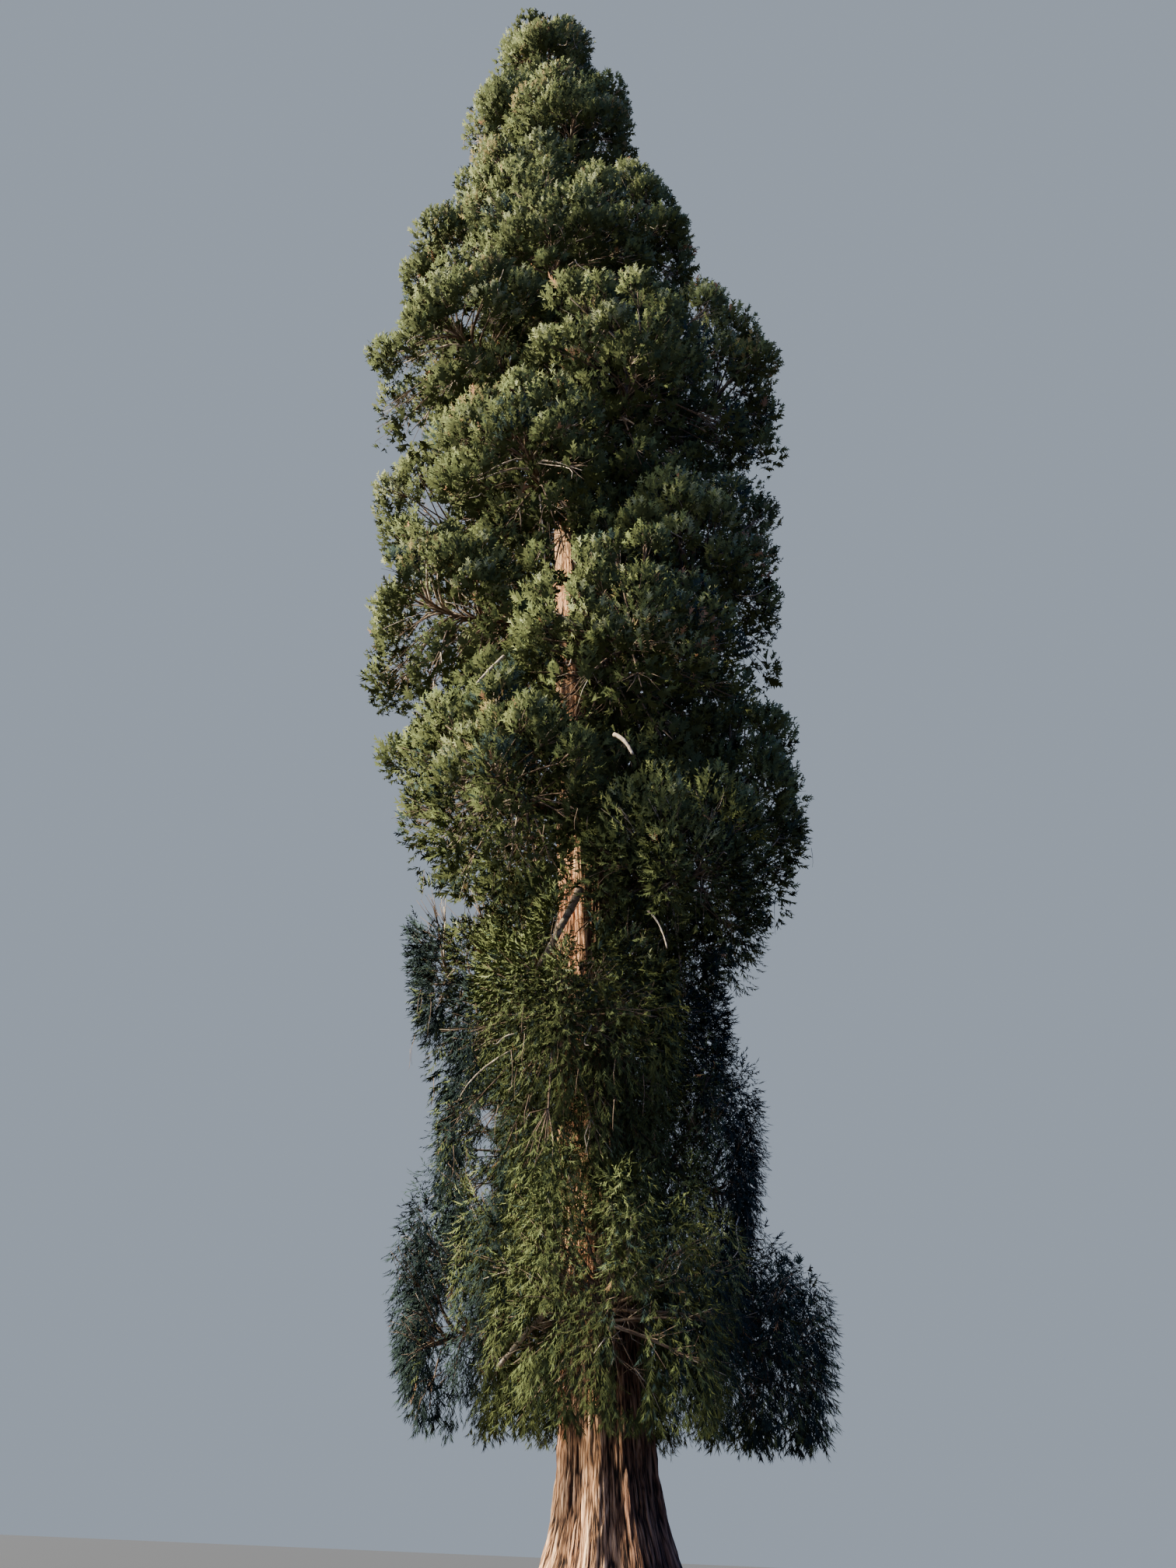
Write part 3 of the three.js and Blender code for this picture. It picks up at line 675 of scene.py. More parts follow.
def tubes(paths, radii, sides, roughness=0.0):
    """Closed tapering tubes along paths (n, m, 3) with radii (n, m): a ring square to the path at each
    point, pushed in and out by noise, and a cap at both ends. Returns points and faces."""
    count, steps = paths.shape[:2]
    along = unit(np.gradient(paths, axis=1))
    chord = paths[:, -1] - paths[:, 0]
    level = np.abs(chord[:, 2]) < 0.8 * np.linalg.norm(chord, axis=1)
    guide = np.where(level[:, None], UP, (1.0, 0, 0))[:, None]
    across = unit(np.cross(guide, along))
    third = np.cross(along, across)
    turn = np.linspace(0, 2 * np.pi, sides, endpoint=False)[:, None]
    ring = across[:, :, None] * np.cos(turn) + third[:, :, None] * np.sin(turn)
    swell = radii[..., None]
    if roughness:
        q = (paths[:, :, None] + ring * swell[..., None]) / ROUGHNESS_SIZE
        swell = swell + roughness * (noise(q) - 0.5) * 2
    skin = paths[:, :, None] + ring * swell[..., None]
    ends = np.stack([paths[:, 0], paths[:, -1]], 1).reshape(-1, 3)
    points = np.concatenate([skin.reshape(-1, 3), ends])
    start = np.arange(count)[:, None, None] * steps * sides
    band = (start + grid_faces(steps, sides)[None]).reshape(-1, 4)
    ring_numbers = np.arange(sides)
    first = cap_faces(ring_numbers, 0, False)[None] + start
    last = cap_faces(ring_numbers + (steps - 1) * sides, 0, True)[None] + start
    first[..., 2] = count * steps * sides + 2 * np.arange(count)[:, None]
    last[..., 2] = first[..., 2] + 1
    return points, [band, first.reshape(-1, 3), last.reshape(-1, 3)]


def entry_of(mass):
    """The point where a limb ends and the mass's own stem begins, and the way from there to its foot."""
    inwards = unit(mass.foot - mass.centre)
    return mass.centre + inwards * mass.reach(inwards[None])[0] * ENTRY_SHARE, inwards


def bough_controls(mass):
    """A bough leaves the trunk square to it, and ends in line with the stem that carries on from it."""
    point, inwards = entry_of(mass)
    out = unit((point - mass.foot) * (1, 1, 0))
    span = np.linalg.norm(point - mass.foot)
    second = mass.foot + out * span * 0.55 + UP * span * 0.1
    return [mass.foot + out * span * 0.1, second, point + inwards * span * 0.3, point]


def limb_controls(mass):
    """The limb inside a mass: on from the bough's tip, or out of the trunk, past the mass's middle."""
    start, inwards = entry_of(mass) if mass.has_bough else (mass.foot, None)
    lead = -inwards if mass.has_bough else unit(mass.out + 0.25 * UP)
    tip_way = unit(mass.out + UP * (0.5 - 0.7 * droop_at(mass.centre[2])))
    if mass.name.startswith("top"):
        tip_way = unit(UP + 0.15 * mass.out)
    tip = mass.centre + tip_way * mass.reach(tip_way[None])[0] * LIMB_REACH
    span = np.linalg.norm(tip - start)
    return [start, start + lead * span * 0.33, mass.centre - tip_way * span * 0.08, tip]


def limb_finish(name, stops, scale, relief):
    """Bark of a limb: patches of colour from noise, and a surface that rises and sinks with them."""
    limb = Finish(name, stops[1][1], LIMB_ROUGHNESS)
    place = limb.node("ShaderNodeTexCoord", output="Object")
    patches = limb.node("ShaderNodeTexNoise", None, {"Vector": place, "Scale": scale, "Detail": 4.0})
    limb.feed("Base Color", limb.node("ShaderNodeValToRGB", {"stops": stops}, {"Fac": patches}))
    limb.bump(patches, 0.5, relief)
    return limb


limb_bark = limb_finish("limb_bark", LIMB_STOPS, 9.0, 0.012)

carried = [mass for mass in masses if mass.has_bough]
bough_paths = bezier(np.array([bough_controls(mass) for mass in carried]), BOUGH_STEPS)
bough_share = np.linspace(0, 1, BOUGH_STEPS + 1)
bough_radius = mix(BOUGH_FOOT_RADIUS, BOUGH_TIP_RADIUS, bough_share)
bough_radius = bough_radius * (1 + BOUGH_SWELL * np.exp(-9 * bough_share))
bough_radii = np.tile(bough_radius, (len(carried), 1))
bough_mesh = tubes(bough_paths, bough_radii, BOUGH_SIDES, BOUGH_RELIEF)
boughs = mesh_object("boughs", *bough_mesh, [limb_bark])
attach(boughs, "root")
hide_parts(*sorted(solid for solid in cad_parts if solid.startswith("bough_")))

limb_paths = bezier(np.array([limb_controls(mass) for mass in masses]), LIMB_STEPS)
limb_sizes = np.array([mass.size for mass in masses])
limb_thickness = np.clip(limb_sizes / FULL_SIZE, LIMB_LEAST, 1) * BOUGH_TIP_RADIUS
limb_radii = mix(limb_thickness[:, None], LIMB_TIP_RADIUS, np.linspace(0, 1, LIMB_STEPS + 1) ** 0.8)
limbs = mesh_object("inner_limbs", *tubes(limb_paths, limb_radii, LIMB_SIDES, LIMB_RELIEF), [limb_bark])
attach(limbs, "root")


# The tufts. Each mass is a cauliflower of rounded tufts of foliage about as wide as an armful. They
# stand on its outer side, just inside its reach. Smaller ones fill the gaps between the masses, and
# others grow out of the trunk itself, close round it, so that it isn't seen too far.
TUFT_AREA = 0.68  # square metres of a mass's surface for each tuft
TUFT_RADIUS = 0.44
TUFT_SCATTER = 0.3  # of its radius
TUFT_SINK = 0.35  # the furthest that one stands back from the mass's reach
WAY_SCATTER = 0.12
INNER_FACING = -0.3  # no tuft on the side that faces the trunk more than this,
LOW_CROWN = 5.0  # but for the masses whose middles are lower than this, which hang free
UNDERSIDE = -0.3  # tufts are scarce where a mass faces down more than this
UNDERSIDE_SHARE = 0.4
SPRAY_LENGTH = 0.155  # how far the sprays stand out of a tuft
TUFT_TALL = 2.5  # a hanging tuft is this much taller,
NARROWING = 0.4  # and narrower by this power of it
FILL_TRIES = 12000
FILL_SKEW = 1.4  # more of them low down, where the gaps are wider
FILL_LOW = 3.6
FILL_HIGH = 34.8
FILL_INNER = 0.3  # share of the crown's reach
FILL_OUTER = 0.66
FILL_LOW_OUTER = 0.84  # lower than the ring's top
FILL_APART = 0.6  # metres to the next tuft
FILL_LOW_APART = 0.56  # where the crown hangs
FILL_RADIUS = 0.4
VEIL_TRIES = 900  # at the front of the trunk
VEIL_APART = 0.38
SIDE_VEIL_TRIES = 1200  # round the rest of it
SIDE_VEIL_APART = 0.5
VEIL_LOW = 5.3
VEIL_HIGH = 31.0
VEIL_OFF = 0.55  # metres off the trunk
VEIL_HIDDEN = 9.5  # higher than this the small tufts are hidden behind others
VEIL_TURN = 0.8  # radians to both sides of the front

luck = np.random.default_rng(1)


def spread(count, turn=0.0):
    """Directions (count, 3) spread evenly over a ball by the golden angle."""
    k = np.arange(count) + 0.5
    z = 1 - 2 * k / count
    level = np.sqrt(1 - z * z)
    angle = np.radians(GOLDEN_ANGLE) * k + turn
    return np.stack([level * np.cos(angle), level * np.sin(angle), z], -1)


def tall_at(z):
    """How much taller than wide a tuft is: it is round aloft, and drawn out where it hangs."""
    return mix(1, TUFT_TALL, droop_at(z))


class Tufts:
    """The tufts of one mass: their centres, radii and the ways from the mass's middle to them."""

    def __init__(self, mass):
        """Ways are spread evenly and scattered, and those that face the trunk, or mostly down, are left
        out. Along each, the tips of its tuft's sprays end at the mass's reach or a little further in,
        and stay within the box of the mass's plain solid."""
        mean_reach = mass.reach(spread(64)).mean()
        ways = spread(round(4 * math.pi * mean_reach**2 / TUFT_AREA), mass.seed)
        ways = unit(ways + luck.normal(0, WAY_SCATTER, ways.shape))
        if not mass.name.startswith("top"):
            ways = ways[(ways @ mass.out > INNER_FACING) | (mass.centre[2] < LOW_CROWN)]
        ways = ways[(ways[:, 2] > UNDERSIDE) | (luck.random(len(ways)) < UNDERSIDE_SHARE)]
        reach = mass.reach(ways)
        radius = TUFT_RADIUS * (1 + TUFT_SCATTER * luck.uniform(-1, 1, len(ways)))
        radius = np.minimum(radius, reach * 0.45)
        sink = TUFT_SINK * luck.random(len(ways)) ** 2
        self.mass = mass
        self.ways = ways
        self.radii = radius
        narrow = tall_at(mass.centre[2]) ** -NARROWING
        edge = SPRAY_LENGTH * (0.7 - 0.2 * droop_at(mass.centre[2]))
        self.centres = mass.centre + ways * (reach - radius * narrow - sink - edge)[:, None]
        low, high = np.array(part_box(solids_of([mass.name])[0]))
        room = (radius * narrow + SPRAY_LENGTH * 0.8)[:, None]
        self.centres[:, :2] = np.clip(self.centres[:, :2], (low + room)[:, :2], (high - room)[:, :2])
        self.hidden = ways[:, 2] < UNDERSIDE

    def add(self, centre, way, radius, hidden):
        """One more tuft, further in."""
        self.centres = np.vstack([self.centres, centre])
        self.ways = np.vstack([self.ways, way])
        self.radii = np.append(self.radii, radius)
        self.hidden = np.append(self.hidden, hidden)


def add_tufts(places, outs, apart, dice):
    """A small tuft at each place that is further than apart from all the tufts before it."""
    taken = np.concatenate([group.centres for group in tufts])
    for place, out, room in zip(places, outs, apart):
        if np.linalg.norm(taken - place, axis=1).min() > room:
            taken = np.vstack([taken, place])
            nearest = np.linalg.norm(middles - place, axis=1).argmin()
            tufts[nearest].add(place, out, FILL_RADIUS * dice.uniform(0.8, 1.2), place[2] > VEIL_HIDDEN)


def add_veil(tries, first_turn, last_turn, apart, dice):
    """Small tufts close round the trunk, between two bearings that are counted from its front."""
    z = dice.uniform(VEIL_LOW, VEIL_HIGH, tries)
    turn = dice.uniform(first_turn, last_turn, tries) - math.pi / 2
    out = level_way(turn)
    places = axis_at(z) + out * (trunk_radius(z, turn) + VEIL_OFF)[:, None]
    add_tufts(places, out, np.full(tries, apart), dice)


tufts = [Tufts(mass) for mass in masses]
middles = np.array([mass.centre for mass in masses])
fill_z = mix(FILL_LOW, FILL_HIGH, luck.random(FILL_TRIES) ** FILL_SKEW)
fill_turn = luck.uniform(-math.pi, math.pi, FILL_TRIES)
fill_out = level_way(fill_turn)
fill_outer = np.where(fill_z < RING_Z + RING_HALF_HEIGHT, FILL_LOW_OUTER, FILL_OUTER)
fill_reach = crown_reach(fill_z, fill_turn) * mix(FILL_INNER, fill_outer, luck.random(FILL_TRIES))
fill_places = axis_at(fill_z) + fill_out * fill_reach[:, None]
add_veil(VEIL_TRIES, -VEIL_TURN, VEIL_TURN, VEIL_APART, luck)
add_tufts(fill_places, fill_out, mix(FILL_APART, FILL_LOW_APART, droop_at(fill_z)), luck)
side_luck = np.random.default_rng(2)
add_veil(SIDE_VEIL_TRIES, VEIL_TURN, 2 * math.pi - VEIL_TURN, SIDE_VEIL_APART, side_luck)


# The branches. Each tuft is carried by a branch of its own, a few centimetres thick at its foot, that
# leaves the mass's limb at a slant. Some have lost their bark and are bleached.
BRANCH_SIDES = 4
BRANCH_STEPS = 5
BRANCH_RADIUS = 0.022
BRANCH_TIP_RADIUS = 0.007
BRANCH_SPAN = 1.2  # metres: a branch of this length is as thick as that
BARE_SHARE = 0.15  # of the branches have lost their bark and are pale,
LOW_BARE = 8.0  # if they end higher than this
BARE_STOPS = [
    (0.25, (0.16, 0.11, 0.075, 1)),
    (0.5, (0.42, 0.33, 0.24, 1)),
    (0.8, (0.68, 0.58, 0.46, 1)),
]


def branch_controls(group, limb_path):
    """A branch to each tuft leaves the limb a little before the limb's nearest point to it."""
    distance = np.linalg.norm(group.centres[:, None] - limb_path[None], axis=-1)
    nearest = distance.argmin(1)
    first = np.maximum(nearest - 3, 1)
    start = limb_path[first]
    lead = unit(np.gradient(limb_path, axis=0))[first]
    span = np.linalg.norm(group.centres - start, axis=-1)[:, None]
    second = start + lead * span * 0.3 + UP * span * 0.06
    third = group.centres - unit(group.centres - start) * span * 0.35 + UP * span * 0.08
    return np.stack([start, second, third, group.centres], 1)


bare_wood = limb_finish("bare_wood", BARE_STOPS, 14.0, 0.006)

branch_guides = np.concatenate([branch_controls(*pair) for pair in zip(tufts, limb_paths)])
branch_paths = bezier(branch_guides, BRANCH_STEPS)
branch_span = np.linalg.norm(branch_paths[:, -1] - branch_paths[:, 0], axis=-1)[:, None]
branch_taper = mix(1, BRANCH_TIP_RADIUS / BRANCH_RADIUS, np.linspace(0, 1, BRANCH_STEPS + 1))
branch_radii = BRANCH_RADIUS * np.clip(branch_span / BRANCH_SPAN, 0.5, 1.3) * branch_taper
is_bare = (luck.random(len(branch_paths)) < BARE_SHARE) & (branch_paths[:, -1, 2] > LOW_BARE)
for branch_name, chosen, finish in [("branches", ~is_bare, limb_bark), ("bare_branches", is_bare, bare_wood)]:
    branch_mesh = tubes(branch_paths[chosen], branch_radii[chosen], BRANCH_SIDES)
    branches = mesh_object(branch_name, *branch_mesh, [finish])
    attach(branches, "root")


# The twigs. They are as thick as a finger at most, tough and springy, and fan out from each branch's
# last third to the tuft's surface. Bleached ones stand among them.
TWIGS = 6  # to each tuft
TWIG_SIDES = 3
TWIG_STEPS = 2
TWIG_RADIUS = 0.008
TWIG_TIP_RADIUS = 0.003
TWIG_SCATTER = 0.6
HALF_WAY_UP = 17.0  # where the lower twigs end and the upper ones begin


def crooked(first, last, shares, bends):
    """Control points of crooked paths: two points on the way from first to last, pushed aside by bends."""
    second, third = (mix(first, last, share) + bend for share, bend in zip(shares, bends))
    return np.stack([first, second, third, last], -2)


twig_count = TWIGS * len(branch_paths)
twig_start = np.repeat(branch_paths[:, -3:].mean(1), TWIGS, 0)
twig_reach = np.repeat(np.concatenate([group.radii for group in tufts]), TWIGS)[:, None]
twig_out = np.repeat(np.concatenate([group.ways for group in tufts]), TWIGS, 0)
twig_way = unit(twig_out * 0.6 + luck.normal(0, TWIG_SCATTER, (twig_count, 3)) + 0.3 * UP)
twig_span = twig_way * twig_reach * luck.uniform(0.6, 1.1, (twig_count, 1))
twig_end = np.repeat(branch_paths[:, -1], TWIGS, 0) + twig_span
twig_bends = luck.normal(0, 0.08, (2, twig_count, 3))
twig_paths = bezier(crooked(twig_start, twig_end, (0.33, 0.7), twig_bends), TWIG_STEPS)
twig_radii = np.tile(np.linspace(TWIG_RADIUS, TWIG_TIP_RADIUS, TWIG_STEPS + 1), (twig_count, 1))
is_pale = luck.random(twig_count) < BARE_SHARE
is_low = twig_start[:, 2] < HALF_WAY_UP
for twig_name, chosen, finish in [
    ("lower_twigs", ~is_pale & is_low, limb_bark),
    ("upper_twigs", ~is_pale & ~is_low, limb_bark),
    ("bare_twigs", is_pale, bare_wood),
]:
    twigs = mesh_object(twig_name, *tubes(twig_paths[chosen], twig_radii[chosen], TWIG_SIDES), [finish])
    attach(twigs, "root")


# Dead wood. Bleached bare limbs, bent and broken off short, stand in the gaps under the masses all
# over the crown. Dead twigs as thin as threads hang below the lowest masses.
SNAGS = 3  # for each mass above the lowest
SNAG_SIDES = 5
SNAG_STEPS = 6
SNAG_RADIUS = 0.014
SNAG_TIP_RADIUS = 0.007
THREADS = 16  # for each mass in the lower crown
THREAD_SIDES = 3
THREAD_STEPS = 3
THREAD_BELOW = 13.0
THREAD_LENGTH = 0.6
THREAD_RADIUS = 0.005
THREAD_TIP_RADIUS = 0.002
BARE_LIMB_SIDES = 12
BARE_LIMB_STEPS = 12
BARE_LIMB_BOW = np.array([0.07, -0.05, 0.1])  # as shares of its length
LIMB_CLEAR = 0.15  # foliage leaves this much round the bare limbs that show

# Bare limbs that show at the front: where they are seen against the upright plane through the tree's
# foot (right, up), how far in front of it they are, and how thick. They start at the trunk's side.
BARE_LIMBS = [
    ((-0.85, 11.1), (-1.45, 9.7), -0.9, 0.07),
    ((-0.36, 14.2), (-0.02, 13.8), -2.9, 0.032),
    ((0.3, 10.75), (0.62, 10.1), -2.65, 0.014),
    ((-2.45, 15.8), (-2.92, 15.15), -2.4, 0.035),
    ((-1.05, 4.45), (-1.7, 3.68), -0.7, 0.045),
]


def seen_at(points):
    """Where the viewer sees points against the upright plane through the tree's foot: right and up."""
    share = -EYE[1] / (points[:, 1] - EYE[1])
    return EYE[0] + (points[:, 0] - EYE[0]) * share, EYE[2] + (points[:, 2] - EYE[2]) * share


def point_before(right, up, y):
    """The point at depth y that the viewer sees at a place on the plane through the tree's foot."""
    share = (y - EYE[1]) / -EYE[1]
    return np.array([EYE[0] + (right - EYE[0]) * share, y, EYE[2] + (up - EYE[2]) * share])


bare_controls = []
for (right, up), (right_end, up_end), y, radius in BARE_LIMBS:
    first = point_before(right, up, y + 0.2)
    last = point_before(right_end, up_end, y)
    bow = np.linalg.norm(last - first) * BARE_LIMB_BOW
    bare_controls.append(crooked(first, last, (0.35, 0.75), (bow, bow * 0.6)))
bare_paths = bezier(np.array(bare_controls), BARE_LIMB_STEPS)
bare_radii = np.array([limb[3] for limb in BARE_LIMBS])[:, None] * np.linspace(1, 0.7, BARE_LIMB_STEPS + 1)
bare_limb_mesh = tubes(bare_paths, bare_radii, BARE_LIMB_SIDES, LIMB_RELIEF)
bare_limbs = mesh_object("bare_limbs", *bare_limb_mesh, [bare_wood])
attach(bare_limbs, "root")

snag_controls = []
thread_controls = []
for mass in masses:
    if mass.centre[2] < LOW_CROWN:
        continue
    turn = luck.uniform(-1.3, 1.3, SNAGS)[:, None]
    level = mass.out * np.cos(turn) + mass.side * np.sin(turn)
    way = unit(level + UP * luck.uniform(-0.8, 0.3, (SNAGS, 1)))
    way_on = unit(way + luck.normal(0, 0.25, way.shape))
    first = mass.centre + way * mass.reach(way)[:, None] * luck.uniform(0.35, 0.6, (SNAGS, 1))
    last = mass.centre + way_on * mass.reach(way_on)[:, None] * luck.uniform(0.65, 0.92, (SNAGS, 1))
    bends = luck.normal(0, 0.1, (2, SNAGS, 3))
    snag_controls.append(crooked(first, last, (0.4, 0.8), bends))
    if mass.centre[2] < THREAD_BELOW:
        way = unit(luck.normal(0, 1, (THREADS, 3)) * (1, 1, 0.3) - 0.9 * UP + 0.6 * mass.out)
        first = mass.centre + way * mass.reach(way)[:, None] * luck.uniform(0.6, 0.9, (THREADS, 1))
        last = first - UP * THREAD_LENGTH * luck.uniform(0.4, 1, (THREADS, 1))
        near, far = luck.normal(0, 0.05, (2, THREADS, 3))
        thread_controls.append(crooked(first, last, (0.4, 1), (near, far * 0.6)))
for snag_name, finish, controls, sides, steps, radius, tip in [
    ("snags", bare_wood, snag_controls, SNAG_SIDES, SNAG_STEPS, SNAG_RADIUS, SNAG_TIP_RADIUS),
    ("threads", limb_bark, thread_controls, THREAD_SIDES, THREAD_STEPS, THREAD_RADIUS, THREAD_TIP_RADIUS),
]:
    snag_paths = bezier(np.concatenate(controls), steps)
    snag_radii = np.linspace(radius, tip, steps + 1) * luck.uniform(0.6, 1.2, (len(snag_paths), 1))
    snags = mesh_object(snag_name, *tubes(snag_paths, snag_radii, sides), [finish])
    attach(snags, "root")


# The foliage. Giant sequoia leaves are short scales that wrap cord-like twigs. The cords stand in
# feathered sprays: upright and tight in the upper crown, long and hanging with upturned tips lower
# down. A spray is a slim stem with cords to both sides of it, drawn darker near its root and lighter at
# its end, partly the foliage's own colour and partly painted shade. Each pair here is a value for the
# upper crown and one for where foliage hangs.
SPRAYS = (94, 212)  # tried on each tuft
SPRAY_SCALE = (1, 0.8)
SPRAY_AWAY = (1, 0.35)  # a spray grows this much straight out of its tuft,
SPRAY_OUT = (0.3, 0.1)  # this much out of the mass,
SPRAY_UP = (0.8, -1.3)  # and this much up
SPRAY_UNREST = (1, 0.55)  # shares of its scatter
SPRAY_BEND = (0.15, 0.35)
CORD_LEAN = (math.radians(48), math.radians(24))
SLENDER = (1, 0.8)  # cords that hang are this much narrower, and as much longer
HIDDEN_SHARE = (0.55, 0.75)  # of the sprays of a tuft further in
INNER_SCALE = (1.5, 1.4)  # sprays deep inside their tuft are larger
# share of sprays on a tuft's bumps drawn in the light tone: painted highlight
HIGHLIGHT_SHARE = (0.35, 0.08)

SPRAY_FACING = -0.3  # none on the side of a tuft that faces back more than this
SPRAY_SCATTER = 0.35
HANG_LONGER = 1.3  # a spray that hangs is up to this much longer
CUT_SHORT = 0.55  # one that would reach past the crown keeps this share of its length
HIDDEN_SCALE = 1.2
INNER_SHARE = 0.25  # of the sprays are deep inside their tuft, drawn dark as painted shade
CORDS = 8  # on each spray, one triangle each
CORD_LENGTH = 0.1
CORD_FOOT = 0.05  # how much of the stem a cord stands on
CORD_TWIST = 0.6  # how far cords turn out of the spray's plane, in radians
BUMP = 0.2  # metres: the size of the bumps on a tuft
BUMP_STRETCH = 1.8  # they are taller by this power of their tuft's height
BUMP_DEPTH = 0.35  # share of its radius
ROUND_LIGHT = 0.7  # how far sprays are lit like the rounded tuft that their needles make up
MOST_IN_PIECE = 190000  # triangles; a new piece begins before there are more

# Tones of foliage, from the painted shade deep in a tuft to its tips, painted lighter where the light falls,
# and what is dying or dead.
TONES = [
    ("needles_deep", (0.06, 0.07, 0.024, 1)),
    ("needles_green", (0.104, 0.126, 0.045, 1)),
    ("needles_olive", (0.142, 0.156, 0.058, 1)),
    ("needles_light", (0.176, 0.19, 0.1, 1)),
    ("needles_blue", (0.026, 0.043, 0.034, 1)),
    ("needles_dull", (0.17, 0.135, 0.055, 1)),
    ("needles_dead", (0.27, 0.14, 0.07, 1)),
    # the darkest tone, used only as painted shade
    ("needles_dusk", (0.016, 0.026, 0.023, 1)),
]
DEEP, GREEN, OLIVE, LIGHT, BLUE, DULL, DEAD, DARK_SHADE = range(len(TONES))
# the darker tone for the root of each spray: partly the foliage's own colour, partly painted shade
ROOT_SHADE_TONES = np.array([DEEP, DEEP, GREEN, OLIVE, DARK_SHADE, DEEP, DULL, DARK_SHADE])
# The upper crown's tones are lighter than the lower's: partly the foliage's own colour, partly painted light
# where more sun falls.
UPPER_TONES = [OLIVE, OLIVE, OLIVE, LIGHT, GREEN, DULL]
LOWER_TONES = [GREEN, GREEN, OLIVE, DEEP, BLUE]
# tones for low tufts at the tree's sides: painted shade
SIDE_SHADE_TONES = [BLUE, DARK_SHADE, DARK_SHADE, DARK_SHADE]
# darker tones for tufts that face down or stand behind others: painted shade
HIDDEN_TONES = [GREEN, GREEN, DEEP, DEEP]
UPPER_FROM = 8.0  # metres up: from here on more and more tufts have the upper tones,
UPPER_TO = 32.0  # and here all of them
# Painted shade: low tufts at the tree's sides get the dark side tones.
ASIDE_BELOW = 10.0  # metres up: lower than this the sides are in the shade,
ASIDE_LEFT = 1.3  # from this far left of the trunk's line
ASIDE_RIGHT = 0.8  # and from this far right of it
DEAD_TUFTS = 0.012
DEAD_SPRAYS = 0.004
tone_finishes = [Finish(name, colour, 0.9, 0.08) for name, colour in TONES]

# Stretches where the trunk shows through the front: low and high end, middle from the trunk's line,
# and half width.
TRUNK_SHOWS = [
    (17.7, 18.9, -0.2, 0.26),
    (16.6, 17.5, -0.25, 0.15),
    (14.3, 15.7, -0.14, 0.2),
    (9.6, 11.7, -0.12, 0.2),
    (4.9, 5.8, -0.05, 0.12),
    (3.3, 4.8, 0.35, 0.2),
]
# Stretches of the trunk that the sun reaches through the foliage: low and high end, how far in front of
# the trunk's middle, and half width.
TRUNK_LIT = [
    (16.3, 19.0, 0.15, 0.38),
    (13.9, 15.8, 0.15, 0.38),
    (9.2, 11.7, 0.25, 0.38),
    (4.7, 5.9, 0.4, 0.24),
    (0.5, 3.4, 0.68, 0.21),
]
# Open holes right through the crown's left edge: right, up and radius.
HOLES = [
    (-3.81, 24.8, 0.38),
    (-4.9, 17.5, 0.35),
    (-4.05, 19.1, 0.4),
    (-3.17, 10.6, 0.42),
    (-2.65, 10.6, 0.3),
    (-2.05, 7.3, 0.2),
    (-2.05, 6.8, 0.22),
    (-2.05, 6.2, 0.2),
]


def is_clear(points):
    """Whether sprays at these points leave open what shows through the crown, and let the sun on it."""
    marks = bare_paths.reshape(-1, 3)
    marks_right, marks_up = seen_at(marks)
    right, up = seen_at(points)
    edge = luck.uniform(0.75, 1.25, len(points))
    hidden = np.zeros(len(points), bool)
    off_line = right - axis_at(up)[:, 0]
    away = points - axis_at(points[:, 2])
    sunwards = away[:, 0] * math.cos(SUN_BEARING) + away[:, 1] * math.sin(SUN_BEARING)
    aside = away[:, 1] * math.cos(SUN_BEARING) - away[:, 0] * math.sin(SUN_BEARING)
    lit_height = points[:, 2] - sunwards * math.tan(SUN_HEIGHT)
    for low, high, middle, half in TRUNK_SHOWS:
        hidden |= (points[:, 1] < 0) & (up > low) & (up < high) & (np.abs(off_line - middle) < half * edge)
    for low, high, middle, half in TRUNK_LIT:
        in_band = (lit_height > low) & (lit_height < high)
        hidden |= (sunwards > 0) & in_band & (np.abs(aside - middle) < half * edge)
    for x, z, radius in HOLES:
        hidden |= np.hypot(right - x, up - z) < radius * edge
    for mark, x, z in zip(marks, marks_right, marks_up):
        hidden |= (points[:, 1] < mark[1] + 0.1) & (np.hypot(right - x, up - z) < LIMB_CLEAR * edge)
    return ~hidden


